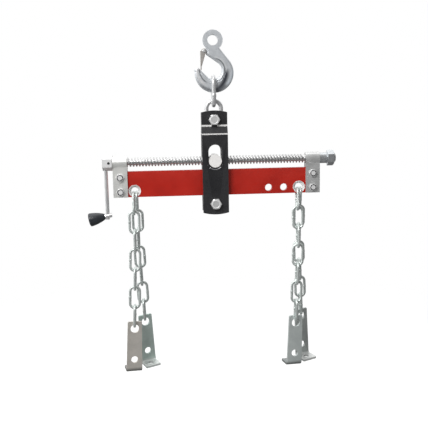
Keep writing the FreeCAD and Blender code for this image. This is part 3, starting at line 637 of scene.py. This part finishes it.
FORGED_ZINC = PlatedSteel(
    "forged_zinc", (0.82, 0.85, 0.88), (0.67, 0.70, 0.73), 0.30, 0.42, metal=0.55, cloud=120.0, wear=0.0,
    # Painted light on the hook: the dark bands are painted dark reflections and painted shade, the light
    # ones painted highlights. Centre, radius and half width of each band, then its focus and reach, its
    # tone and its amount.
    painted_light_bands=(
        PaintedLightBand((-22.0, -55.0), 48.0, 9.0, (20.0, -80.0), 31.0, (0.03, 0.035, 0.05), 0.95),
        PaintedLightBand(BOWL_CENTRE, 22.0, 1.8, (17.0, -44.0), 20.0, (0.11, 0.12, 0.13), 0.9),
        PaintedLightBand(BOWL_CENTRE, 25.0, 2.2, (18.0, -42.0), 22.0, (0.95, 0.96, 0.98), 0.6),
        PaintedLightBand(BOWL_CENTRE, 26.0, 2.0, (-24.0, -66.0), 20.0, (0.14, 0.14, 0.15), 0.85),
        PaintedLightBand(BOWL_CENTRE, 31.0, 4.0, (-28.0, -66.0), 26.0, (0.98, 0.97, 0.98), 0.85),
        PaintedLightBand(BOWL_CENTRE, 37.0, 5.0, (2.0, -90.0), 34.0, (0.16, 0.17, 0.19), 0.7),
        PaintedLightBand(BOWL_CENTRE, 38.0, 6.0, (36.0, -70.0), 22.0, (0.84, 0.91, 0.98), 0.8),
    ),
)
LATCH_STEEL = PlatedSteel("latch_steel", (0.56, 0.53, 0.50), (0.42, 0.39, 0.36), 0.32, 0.46, cloud=160.0)
SPRING_STEEL = PlatedSteel("spring_steel", (0.40, 0.40, 0.42), (0.28, 0.28, 0.30), 0.22, 0.32)
DARK_SCREW = PlatedSteel(
    "blackened_steel", (0.020, 0.020, 0.022), (0.012, 0.012, 0.014), 0.4, 0.55, wear=0.0
)
LINER_ZINC = PlatedSteel("liner_zinc", (0.96, 0.93, 0.92), (0.86, 0.83, 0.82), 0.4, 0.55, metal=0.1)
RED_ENAMEL = Enamel(
    "red_enamel", (0.46, 0.013, 0.005), (0.40, 0.010, 0.004), (0.50, 0.017, 0.008), 0.34, 0.46, 0.0,
    (0.60, 0.08, 0.06), specular=0.3,
)
BLACK_ENAMEL = Enamel(
    "black_enamel", (0.020, 0.020, 0.022), (0.015, 0.015, 0.017), (0.026, 0.026, 0.028), 0.24, 0.34, 0.5,
    # Painted highlight lines along the two bends of the plates.
    (0.16, 0.16, 0.17), painted_highlight_lines=(PaintedHighlightLine(-160.1, 2.2, 6.0), PaintedHighlightLine(-176.1, 1.7, 0.1)),
)
GRIP_PLASTIC = MouldedPlastic("grip_plastic", (0.022, 0.026, 0.031), (0.036, 0.042, 0.050), 0.30, 0.42)


class Palette:
    """Makes each finish once and hands out its material."""

    def __init__(self) -> None:
        """Starts with no materials."""
        self.made: dict[str, bpy.types.Material] = {}

    def get(self, finish: Finish) -> bpy.types.Material:
        """Returns the material of a finish, made on its first use.

        Args:
            finish: The finish wanted.

        Returns:
            Its material.
        """
        if finish.name not in self.made:
            self.made[finish.name] = finish.make()
        return self.made[finish.name]


def lathe(profile: Sequence[Point], steps: int, closed: bool) -> bmesh.types.BMesh:
    """Spins a profile once around local Z.

    Args:
        profile: Points as radius and height in millimetres.
        steps: Segments of the full turn.
        closed: Whether the last point joins the first.

    Returns:
        The turned shape, in millimetres.
    """
    turned = bmesh.new()
    points = [turned.verts.new((radius, 0.0, height)) for radius, height in profile]
    pairs = list(zip(points, points[1:]))
    if closed:
        pairs.append((points[-1], points[0]))
    edges = [turned.edges.new(pair) for pair in pairs]
    bmesh.ops.spin(
        turned, geom=points + edges, cent=(0, 0, 0), axis=(0, 0, 1), dvec=(0, 0, 0),
        angle=FULL_TURN, steps=steps, use_merge=True, use_duplicate=False,
    )
    bmesh.ops.remove_doubles(turned, verts=turned.verts, dist=SPIN_SEAM)
    bmesh.ops.recalc_face_normals(turned, faces=turned.faces)
    return turned


def basis(origin: Vector, up: Vector) -> Matrix:
    """Gives the transform that puts local Z along a direction, from millimetres to metres.

    Args:
        origin: Where local zero goes, in metres.
        up: Direction of local Z.

    Returns:
        The transform.
    """
    turn = up.normalized().to_track_quat("Z", "Y").to_matrix().to_4x4()
    return Matrix.Translation(origin) @ turn @ Matrix.Scale(MM, 4)


@dataclass(frozen=True)
class Rib:
    """Low rib along an arc, in millimetres and degrees, its shoulder in shares of half and height."""

    radius: float
    half: float
    height: float
    shoulder: Point
    start: float
    sweep: float

    def section(self) -> tuple[Point, ...]:
        """Returns the closed section across the rib, from a sunk foot over the crest to the other."""
        out, up = self.half * self.shoulder[0], self.height * self.shoulder[1]
        return (
            (-self.half, -self.height), (-out, up), (0.0, self.height), (out, up), (self.half, -self.height)
        )


@dataclass
class SubAssembly:
    """Shared tools of the sub-assemblies: dressing nodes and adding pieces."""

    nodes: dict[str, bpy.types.Object]
    joints: dict[str, dict]
    palette: Palette

    def dress(self, name: str, finish: Finish, edge: float = 0.0) -> None:
        """Gives a node its finish and, where wanted, broken edges.

        Args:
            name: Node to dress.
            finish: Finish of its whole surface.
            edge: Width of the broken edges in millimetres, or none.
        """
        node = self.nodes[name]
        node.data.materials.clear()
        node.data.materials.append(self.palette.get(finish))
        if edge:
            self.break_edges(node, edge)
        LOG.info("%s: %s", name, finish.name)

    def break_edges(self, piece: bpy.types.Object, edge: float) -> None:
        """Rounds the sharp edges of a node with modifiers.

        Args:
            piece: Node whose edges are rounded.
            edge: Width in millimetres.
        """
        weld = piece.modifiers.new("Joined faces", "WELD")
        weld.merge_threshold = SAME_POINT
        flat = piece.modifiers.new("Whole faces", "DECIMATE")
        flat.decimate_type = "DISSOLVE"
        flat.angle_limit = FLAT_ANGLE
        bevel = piece.modifiers.new("Broken edges", "BEVEL")
        bevel.width = edge * MM
        bevel.segments = EDGE_SEGMENTS
        bevel.limit_method = "ANGLE"
        bevel.angle_limit = SHARP_ANGLE
        normals = piece.modifiers.new("Face shading", "WEIGHTED_NORMAL")
        normals.keep_sharp = False

    def add(self, name: str, shape: bmesh.types.BMesh, body: str, slot: Slot, finish: Finish) -> None:
        """Makes a piece of a finished shape and lets it ride on a body.

        Args:
            name: Name of the piece.
            shape: Its shape in metres; it is freed here.
            body: Body that carries it.
            slot: Material slot of the record; not used.
            finish: Finish of its surface.
        """
        mesh = bpy.data.meshes.new(name)
        for face in shape.faces:
            face.smooth = True
        shape.to_mesh(mesh)
        shape.free()
        mesh.materials.append(self.palette.get(finish))
        piece = bpy.data.objects.new(name, mesh)
        bpy.context.scene.collection.objects.link(piece)
        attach(piece, body)
        LOG.info("%s: new piece on %s", name, body)

    def middle(self, name: str) -> Vector:
        """Returns the centre of a node's box."""
        low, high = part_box(name)
        return (low + high) / 2

    def heads(self, name: str) -> list[Vector]:
        """Finds the front face of every bolt of a node.

        Args:
            name: Node that holds one or more bolts along Y.

        Returns:
            The middle of each front face in metres, from left to right.
        """
        mesh = bmesh.new()
        mesh.from_mesh(self.nodes[name].data)
        bmesh.ops.remove_doubles(mesh, verts=mesh.verts, dist=SAME_POINT)
        waiting = set(mesh.verts)
        found = []
        while waiting:
            bolt = {waiting.pop()}
            edge = set(bolt)
            while edge:
                edge = {e.other_vert(v) for v in edge for e in v.link_edges} - bolt
                bolt |= edge
            waiting -= bolt
            spans = [(min(v.co[i] for v in bolt), max(v.co[i] for v in bolt)) for i in range(3)]
            found.append(Vector((sum(spans[0]) / 2, spans[1][0], sum(spans[2]) / 2)))
        mesh.free()
        return sorted(found, key=tuple)

    def joined(self, shapes: Sequence[bmesh.types.BMesh]) -> bmesh.types.BMesh:
        """Puts several shapes into one.

        Args:
            shapes: Shapes in metres; they are freed here.

        Returns:
            One shape that holds them all.
        """
        whole = bmesh.new()
        for shape in shapes:
            mesh = bpy.data.meshes.new("joined")
            shape.to_mesh(mesh)
            shape.free()
            whole.from_mesh(mesh)
            bpy.data.meshes.remove(mesh)
        return whole

    def turned(
        self, profile: Sequence[Point], origin: Vector, up: Vector, steps: int, closed: bool = True
    ) -> bmesh.types.BMesh:
        """Turns a profile and puts it in place.

        Args:
            profile: Points as radius and height in millimetres.
            origin: Where the profile's zero height goes, in metres.
            up: Direction of the axis.
            steps: Segments of the turn.
            closed: Whether the profile is a closed ring.

        Returns:
            The shape in metres.
        """
        shape = lathe(profile, steps, closed)
        bmesh.ops.transform(shape, matrix=basis(origin, up), verts=shape.verts)
        return shape

    def arc(self, rib: Rib, origin: Vector, side: float) -> bmesh.types.BMesh:
        """Sweeps a low rib along its arc on a face that looks along Y.

        Args:
            rib: Section and run of the rib; its angles count from +X towards +Z.
            origin: Centre of the arc on the face, in metres.
            side: Which way the face looks, FRONT or REAR.

        Returns:
            The closed rib in metres.
        """
        swept = bmesh.new()
        section = swept.faces.new([
            swept.verts.new((rib.radius + offset, side * height, 0.0)) for offset, height in rib.section()
        ])
        bmesh.ops.spin(
            swept, geom=[section], cent=(0, 0, 0), axis=FORWARD, dvec=(0, 0, 0),
            angle=math.radians(rib.sweep), steps=int(rib.sweep / ARC_STEP),
            use_merge=False, use_duplicate=False,
        )
        turn = Matrix.Rotation(math.radians(rib.start), 4, FORWARD)
        place = Matrix.Translation(origin) @ turn @ Matrix.Scale(MM, 4)
        bmesh.ops.transform(swept, matrix=place, verts=swept.verts)
        bmesh.ops.recalc_face_normals(swept, faces=swept.faces)
        return swept

    def ribs(self, rib: Rib, centre: Vector, face: float) -> bmesh.types.BMesh:
        """Lays the same rib on the front and the rear face of a piece.

        Args:
            rib: Section and run of the rib.
            centre: Centre of its arc in metres; its depth doesn't count.
            face: Distance of both faces from the middle plane in millimetres.

        Returns:
            Both ribs in metres.
        """
        return self.joined([
            self.arc(rib, Vector((centre.x, side * face * MM, centre.z)), side) for side in (FRONT, REAR)
        ])


@dataclass
class WeldedLinks(SubAssembly):
    """Resistance welds on the straight side of every link, sized in shares of the wire's radius."""

    weld_swell: float = 0.13
    weld_half: float = 0.95
    weld_core: float = 0.8
    # Rise in shares of the swell and reach in shares of the half length, from the toe to the crown.
    weld_slope: tuple[Point, ...] = ((0.55, 0.72), (1.0, 0.38), (0.9, 0.1))
    weld_crown: float = 1.15

    def bead(self, link: str, wire: float, along: Vector, at: Vector, slot: Slot, finish: Finish) -> None:
        """Adds the swollen weld of one link.

        Args:
            link: Link node and body.
            wire: Wire radius in millimetres.
            along: Direction of the wire at the weld.
            at: Middle of the weld in metres.
            slot: Material slot of the link.
            finish: Finish of the link.
        """
        swell = wire * self.weld_swell
        half = wire * self.weld_half
        rising = (
            (wire * self.weld_core, -half), (wire, -half),
            *((wire + swell * rise, -half * reach) for rise, reach in self.weld_slope),
        )
        falling = tuple((radius, -height) for radius, height in reversed(rising))
        profile = (*rising, (wire + swell * self.weld_crown, 0.0), *falling)
        self.add(f"{link}_weld", self.turned(profile, at, along, steps=28), link, slot, finish)


@dataclass
class HookSet(WeldedLinks):
    """Hook, latch and the two heavy links."""

    link_wire: float = 4.0
    link_side: float = 14.0
    upper_weld_drop: float = 8.5
    pin_head: float = 3.3
    pin_head_height: float = 1.5
    pin_neck: float = 0.6
    pin_sink: float = 0.6
    # Shares of the head's radius and height.
    pin_dome: tuple[Point, ...] = ((1.0, 0.3), (0.82, 0.72), (0.45, 0.95), (0.0, 1.0))
    hook_face: float = 5.75
    ridge: Rib = Rib(radius=24.5, half=0.9, height=0.5, shoulder=(0.7, 0.5), start=195.0, sweep=150.0)

    def build(self) -> None:
        """Dresses the hook and adds its small parts."""
        self.dress("hook", FORGED_ZINC)
        self.dress("hook_latch", LATCH_STEEL, edge=0.3)
        self.dress("latch_pin", BRIGHT_ZINC)
        self.dress("latch_spring", SPRING_STEEL)
        self.pin_heads()
        self.ridges()
        for link, drop in (("upper_link", self.upper_weld_drop), ("lower_link", 0.0)):
            self.dress(link, BRIGHT_ZINC)
            across = Vector(self.joints[f"{link}_swing"]["axis"]).cross(UPWARD)
            at = self.middle(link) + (across * self.link_side - UPWARD * drop) * MM
            self.bead(link, self.link_wire, UPWARD, at, Slot.ZINC, BRIGHT_ZINC)

    def pin_heads(self) -> None:
        """Adds the peened heads at both ends of the latch pin."""
        low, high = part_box("latch_pin")
        centre = self.middle("latch_pin")
        radius, height = self.pin_head, self.pin_head_height
        profile = (
            (0.0, -self.pin_sink), (radius * self.pin_neck, -self.pin_sink), (radius, 0.0),
            *((radius * share, height * rise) for share, rise in self.pin_dome),
        )
        heads = []
        for end, outward in ((low.y, FORWARD), (high.y, BACKWARD)):
            foot = Vector((centre.x, end, centre.z)) - outward * height * MM
            heads.append(self.turned(profile, foot, outward, steps=24, closed=False))
        self.add("latch_pin_heads", self.joined(heads), "hook", Slot.ZINC, BRIGHT_ZINC)

    def ridges(self) -> None:
        """Adds the forged ridge that follows the bowl on both faces of the hook."""
        x, z = BOWL_CENTRE
        both = self.ribs(self.ridge, Vector((x, 0.0, z)) * MM, self.hook_face)
        self.add("hook_ridges", both, "hook", Slot.ZINC, FORGED_ZINC)


@dataclass
class HangerSet(SubAssembly):
    """Hanger plates with their bolts, the roller and the travelling nut."""

    lip_face: float = 21.0
    lip_crest: Rib = Rib(radius=16.15, half=0.95, height=0.12, shoulder=(0.8, 0.7), start=229.0, sweep=82.0)
    rim_radius: float = 7.4
    # Offset from the rim's radius and height above the head.
    rim_section: tuple[Point, ...] = (
        (-1.3, -0.2), (-1.0, 0.3), (-0.5, 0.55), (0.4, 0.55), (0.9, 0.3), (1.1, -0.2)
    )

    def build(self) -> None:
        """Dresses the hanger and what turns in it, with bolt head rims in a lighter zinc, partly a painted
        highlight, and a painted highlight on the crest of each slot lip.
        """
        for plate in ("hanger_plate_front", "hanger_plate_rear"):
            self.dress(plate, BLACK_ENAMEL, edge=0.5)
        for fastener in ("hanger_bolts", "hanger_nuts"):
            self.dress(fastener, BOLT_ZINC, edge=0.25)
        # Raised rims on the hanger bolt heads, in a lighter zinc than the heads: real shape, partly a
        # painted highlight.
        rim = tuple((self.rim_radius + offset, height) for offset, height in self.rim_section)
        rims = [self.turned(rim, top, FORWARD, steps=48) for top in self.heads("hanger_bolts")]
        self.add("hanger_bolt_rims", self.joined(rims), "hanger", Slot.ZINC, RIM_ZINC)
        trunnion = TurnedSteel(
            "trunnion_steel", Axis.Y, tuple(self.middle("travelling_nut")), (0.99, 0.97, 0.95),
            (0.93, 0.91, 0.89), metal=0.1,
        )
        self.dress("travelling_nut", trunnion, edge=0.4)
        self.dress("roller", TurnedSteel("roller_steel", Axis.Y, tuple(self.middle("roller"))), edge=0.3)
        self.dress("roller_bush", TurnedSteel("bush_steel", Axis.Y, tuple(self.middle("roller_bush"))))
        # A thin skin of lighter steel on the crest of each slot lip: painted highlight.
        crests = self.ribs(self.lip_crest, self.middle("travelling_nut"), self.lip_face)
        self.add("slot_lip_painted_highlight", crests, "hanger", Slot.BLACK_PAINT, SPRING_STEEL)


@dataclass
class BarSet(SubAssembly):
    """Bar with its end straps, bolts and flared chain holes."""

    hole_reach: float = 161.0
    hole_rise: float = 12.0
    hole_radius: float = 7.0
    flare_radius: float = 11.5
    bar_half: float = 5.0
    liner_inside: Point = (-0.12, 0.5)
    # Offset from the flare's radius and height above the bar's face.
    liner_rim: tuple[Point, ...] = (
        (-0.37, -0.2), (-0.05, 0.4), (0.15, 0.45), (0.4, 0.33), (0.5, -0.05), (0.3, -0.4)
    )
    liner_outside: Point = (0.5, 0.2)
    shade_ring_section: tuple[Point, ...] = ((4.3, -0.1), (4.6, 0.12), (5.9, 0.12), (6.2, -0.1))

    def build(self) -> None:
        """Dresses the bar, adds the rings of painted shade on the bolt heads and lines the chain holes."""
        self.dress("bar", RED_ENAMEL, edge=0.6)
        for side, plate in STRAP_ZINCS.items():
            self.dress(f"end_strap_{side}", plate, edge=0.4)
        self.dress("strap_bolts", RIM_ZINC, edge=0.25)
        self.dress("strap_nuts", BRIGHT_ZINC, edge=0.25)
        tops = self.heads("strap_bolts")
        # Thin near-black rings around each strap bolt head: painted shade.
        rings = [self.turned(self.shade_ring_section, top, FORWARD, steps=40) for top in tops]
        self.add("strap_bolt_shade_rings", self.joined(rings), "bar", Slot.STEEL, PAINTED_SHADE_STEEL)
        self.line_hole("left", -self.hole_reach)
        self.line_hole("right", self.hole_reach)

    def line_hole(self, side: str, reach: float) -> None:
        """Adds the bright liner of one chain hole, with its rolled rims.

        Args:
            side: End of the bar, left or right.
            reach: Distance from the middle of the bar in millimetres, signed.
        """
        low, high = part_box("bar")
        centre = Vector(((low.x + high.x) / 2 + reach * MM, 0.0, low.z + self.hole_rise * MM))
        half = (
            (self.hole_radius + self.liner_inside[0], self.liner_inside[1]),
            *((self.flare_radius + offset, self.bar_half + rise) for offset, rise in self.liner_rim),
            (self.hole_radius + self.liner_outside[0], self.liner_outside[1]),
        )
        profile = half + tuple((radius, -height) for radius, height in reversed(half))
        liner = self.turned(profile, centre, BACKWARD, steps=64)
        self.add(f"{side}_hole_liner", liner, "bar", Slot.ZINC, LINER_ZINC)


@dataclass
class ScrewSet(SubAssembly):
    """Lead screw with its stops, the crank and its knob."""

    root: float = 6.0
    crest: float = 8.1

    def build(self) -> None:
        """Dresses the screw and the crank."""
        thread = ThreadedZinc("thread_zinc", tuple(self.middle("end_nut")), self.root, self.crest)
        self.dress("lead_screw", thread)
        for stop in ("stop_sleeve", "end_nut"):
            steel = TurnedSteel(
                f"{stop}_steel", Axis.X, tuple(self.middle(stop)), (0.72, 0.75, 0.77), (0.58, 0.60, 0.62),
                metal=0.8,
            )
            self.dress(stop, steel, edge=0.4)
        self.dress("crank_hub", RIM_ZINC, edge=0.5)
        self.dress("hub_set_screw", DARK_SCREW)
        self.dress("crank_arm", BRIGHT_ZINC)
        self.dress("knob_pin", BRIGHT_ZINC, edge=0.3)
        self.dress("crank_knob", GRIP_PLASTIC)


@dataclass
class ChainSet(WeldedLinks):
    """Four chain strands with their angle brackets."""

    link_count: int = 7
    wire: float = 2.6
    side: float = 9.4
    # A band of painted light along each bracket's bent end, painted shade under a front bend and painted
    # light on a rear foot: its rise above the bottom, half width, reach and flat arc.
    painted_band_rise: float = 5.0
    band_half: float = 8.0
    band_reach: float = 60.0
    flat_arc: float = 2000.0
    painted_bend_shade: tuple[RGB, float] = ((0.10, 0.11, 0.11), 0.75)
    painted_foot_light: tuple[RGB, float] = ((0.90, 0.91, 0.90), 0.7)

    def build(self) -> None:
        """Dresses every strand and adds the welds of its links."""
        for strand, plate in BRACKET_ZINCS.items():
            names = [f"{strand}_link_{i}" for i in range(1, self.link_count + 1)]
            for link, below in zip(names, names[1:] + [f"{strand}_bracket"]):
                self.dress(link, CHAIN_ZINC)
                joint = self.joints[f"{link}_swing"]
                top = Vector(joint["pos_m"])
                drop = Vector(self.joints[f"{below}_swing"]["pos_m"]) - top
                at = self.middle(link) + Vector(joint["axis"]) * self.side * MM
                self.bead(link, self.wire, drop, at, Slot.CHAIN_ZINC, CHAIN_ZINC)
            self.dress(f"{strand}_bracket", self.shaded(strand, plate), edge=0.4)

    def shaded(self, strand: str, plate: PlatedSteel) -> PlatedSteel:
        """Paints light onto the bent end of a bracket: painted shade under a front bend, painted light on
        the top of a rear foot.

        Args:
            strand: Strand that ends in the bracket.
            plate: Plain finish of the bracket.

        Returns:
            The finish with a band of painted light along the bent end.
        """
        low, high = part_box(f"{strand}_bracket")
        tone, amount = self.painted_foot_light if strand.endswith("rear") else self.painted_bend_shade
        middle = (low.x + high.x) / 2 / MM
        bottom = low.z / MM + self.painted_band_rise
        band = PaintedLightBand(
            (middle, bottom + self.flat_arc), self.flat_arc, self.band_half, (middle, bottom),
            self.band_reach, tone, amount,
        )
        return replace(plate, painted_light_bands=(band,))


@dataclass(frozen=True)
class SoftLamp:
    """Rectangular lamp that looks at the part, in metres and watts."""

    name: str
    at: Triple
    size: Point
    watts: float


@dataclass
class Studio:
    """Pale floor, soft lamps, white surroundings and the camera."""

    middle: Vector
    floor_half: float = 12.0
    floor_drop: float = 0.12
    floor_glow: float = 0.7
    floor_seen: tuple[RGB, RGB] = ((0.48, 0.48, 0.48), (0.5, 0.5, 0.5))
    floor_unseen: RGB = (0.2, 0.2, 0.2)
    floor_rough: float = 0.9
    floor_specks: float = 40.0
    floor_whole: float = 350.0
    floor_gone: float = 1200.0
    room_light: float = 0.45
    bright_side: Triple = (-0.35, 0.65, 0.67)
    mirror_sky: tuple[float, float, float, float] = (-0.1, 0.75, 0.1, 1.1)
    lamps: tuple[SoftLamp, ...] = (
        SoftLamp("key_lamp", (-0.9, -1.6, 0.95), (0.9, 0.8), 28.0),
        SoftLamp("top_lamp", (-0.2, 0.15, 1.3), (1.6, 1.2), 8.0),
        SoftLamp("left_lamp", (-1.7, -0.7, 0.2), (0.7, 1.6), 6.0),
    )
    camera_at: Triple = (-0.07957, -1.2608, -0.12707)
    yaw: float = 3.459
    pitch: float = -9.156
    roll: float = -1.111
    focal_pixels: float = 647.5
    sensor: float = 36.0

    def build(self) -> None:
        """Sets up all of the stage."""
        bpy.context.scene.view_settings.view_transform = "Standard"
        self.floor()
        self.surroundings()
        for lamp in self.lamps:
            self.hang(lamp)
        self.camera()

    def floor(self) -> None:
        """Lays a wide pale floor under the part."""
        low, _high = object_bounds()
        plate = bmesh.new()
        bmesh.ops.create_grid(plate, x_segments=1, y_segments=1, size=self.floor_half)
        place = (self.middle.x, self.middle.y, low.z - self.floor_drop)
        bmesh.ops.translate(plate, verts=plate.verts, vec=place)
        mesh = bpy.data.meshes.new("floor")
        plate.to_mesh(mesh)
        plate.free()
        mesh.materials.append(self.floor_paint())
        floor = bpy.data.objects.new("floor", mesh)
        bpy.context.scene.collection.objects.link(floor)
        floor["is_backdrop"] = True

    def floor_paint(self) -> bpy.types.Material:
        """Gives a matte white that the camera sees as white, shadows kept, and that ends softly.

        Returns:
            The floor's material.
        """
        bench = NodeBench("floor_white")
        nodes = bench.tree.nodes
        path = nodes.new("ShaderNodeLightPath")
        tint = nodes.new("ShaderNodeMix")
        tint.data_type = "RGBA"
        tint.inputs["A"].default_value = (*self.floor_unseen, 1.0)
        bench.link(path.outputs["Is Camera Ray"], tint.inputs["Factor"])
        specks = bench.noise(self.floor_specks, detail=2.0)
        seen = bench.ramp(specks, tuple(zip((bench.noise_low, bench.noise_high), self.floor_seen)))
        bench.link(seen, tint.inputs["B"])
        bench.colour(tint.outputs["Result"])
        bench.fixed(Roughness=self.floor_rough, Specular_IOR_Level=0.0)
        glow = nodes.new("ShaderNodeMath")
        glow.operation = "MULTIPLY"
        glow.inputs[1].default_value = self.floor_glow
        bench.link(path.outputs["Is Camera Ray"], glow.inputs[0])
        bench.shader.inputs["Emission Color"].default_value = WHITE
        bench.link(glow.outputs["Value"], bench.shader.inputs["Emission Strength"])
        away = bench.distance((1, 1, 0), self.middle)
        mix = nodes.new("ShaderNodeMixShader")
        clear = nodes.new("ShaderNodeBsdfTransparent")
        bench.link(bench.fade(away, self.floor_whole, self.floor_gone, 0.0, 1.0), mix.inputs[0])
        bench.link(bench.shader.outputs[0], mix.inputs[1])
        bench.link(clear.outputs[0], mix.inputs[2])
        bench.link(mix.outputs[0], nodes["Material Output"].inputs["Surface"])
        return bench.material

    def surroundings(self) -> None:
        """Makes the world white to the eye, an even room for the light and a sky for mirrors."""
        world = bpy.data.worlds.new("white_room")
        bpy.context.scene.world = world
        world.use_nodes = True
        tree = world.node_tree
        tree.nodes.clear()
        path = tree.nodes.new("ShaderNodeLightPath")
        seen, room, mirror = (tree.nodes.new("ShaderNodeBackground") for _ in range(3))
        for light in (seen, room, mirror):
            light.inputs["Color"].default_value = WHITE
        room.inputs["Strength"].default_value = self.room_light
        coord = tree.nodes.new("ShaderNodeTexCoord")
        rise = tree.nodes.new("ShaderNodeVectorMath")
        rise.operation = "DOT_PRODUCT"
        rise.inputs[1].default_value = self.bright_side
        tree.links.new(coord.outputs["Generated"], rise.inputs[0])
        sky = tree.nodes.new("ShaderNodeMapRange")
        sky.interpolation_type = "SMOOTHSTEP"
        for socket, value in zip(("From Min", "From Max", "To Min", "To Max"), self.mirror_sky):
            sky.inputs[socket].default_value = value
        tree.links.new(rise.outputs["Value"], sky.inputs["Value"])
        tree.links.new(sky.outputs["Result"], mirror.inputs["Strength"])
        glossy = tree.nodes.new("ShaderNodeMixShader")
        tree.links.new(path.outputs["Is Glossy Ray"], glossy.inputs[0])
        tree.links.new(room.outputs[0], glossy.inputs[1])
        tree.links.new(mirror.outputs[0], glossy.inputs[2])
        direct = tree.nodes.new("ShaderNodeMath")
        direct.operation = "MAXIMUM"
        tree.links.new(path.outputs["Is Camera Ray"], direct.inputs[0])
        tree.links.new(path.outputs["Is Transmission Ray"], direct.inputs[1])
        mix = tree.nodes.new("ShaderNodeMixShader")
        tree.links.new(direct.outputs["Value"], mix.inputs[0])
        tree.links.new(glossy.outputs[0], mix.inputs[1])
        tree.links.new(seen.outputs[0], mix.inputs[2])
        output = tree.nodes.new("ShaderNodeOutputWorld")
        tree.links.new(mix.outputs[0], output.inputs["Surface"])

    def hang(self, lamp: SoftLamp) -> None:
        """Hangs one lamp and turns it towards the part.

        Args:
            lamp: Place, size and power of the lamp.
        """
        light = bpy.data.lights.new(lamp.name, "AREA")
        light.shape = "RECTANGLE"
        light.size, light.size_y = lamp.size
        light.energy = lamp.watts
        hung = bpy.data.objects.new(lamp.name, light)
        look = self.middle - Vector(lamp.at)
        hung.matrix_world = Matrix.Translation(lamp.at) @ look.to_track_quat("-Z", "Y").to_matrix().to_4x4()
        bpy.context.scene.collection.objects.link(hung)

    def camera(self) -> None:
        """Puts the camera where the photograph was taken from."""
        yaw, pitch, roll = (math.radians(angle) for angle in (self.yaw, self.pitch, self.roll))
        ahead = Vector((math.sin(yaw) * math.cos(pitch), math.cos(yaw) * math.cos(pitch), math.sin(pitch)))
        level = Vector((math.cos(yaw), -math.sin(yaw), 0.0))
        upright = level.cross(ahead)
        right = level * math.cos(roll) + upright * math.sin(roll)
        up = upright * math.cos(roll) - level * math.sin(roll)
        data = bpy.data.cameras.new("camera")
        data.sensor_fit = "HORIZONTAL"
        data.sensor_width = self.sensor
        data.lens = self.focal_pixels / IMAGE_WIDTH * self.sensor
        camera = bpy.data.objects.new("camera", data)
        turn = Matrix((right, up, -ahead)).transposed().to_4x4()
        camera.matrix_world = Matrix.Translation(self.camera_at) @ turn
        bpy.context.scene.collection.objects.link(camera)
        bpy.context.scene.camera = camera


def clear_scene() -> None:
    """Removes whatever the empty file starts with."""
    for thing in list(bpy.data.objects):
        bpy.data.objects.remove(thing)


def main() -> None:
    """Builds the sub-assemblies in order around the frame."""
    logging.basicConfig(level=logging.INFO, format="%(message)s")
    clear_scene()
    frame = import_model()
    cad_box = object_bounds()
    joints = {joint["name"]: joint for joint in frame["joints"]}
    palette = Palette()
    for assembly in (HookSet, HangerSet, BarSet, ScrewSet, ChainSet):
        assembly(frame["nodes"], joints, palette).build()
    low, high = cad_box
    Studio((low + high) / 2).build()


if __name__ == "__main__":
    main()
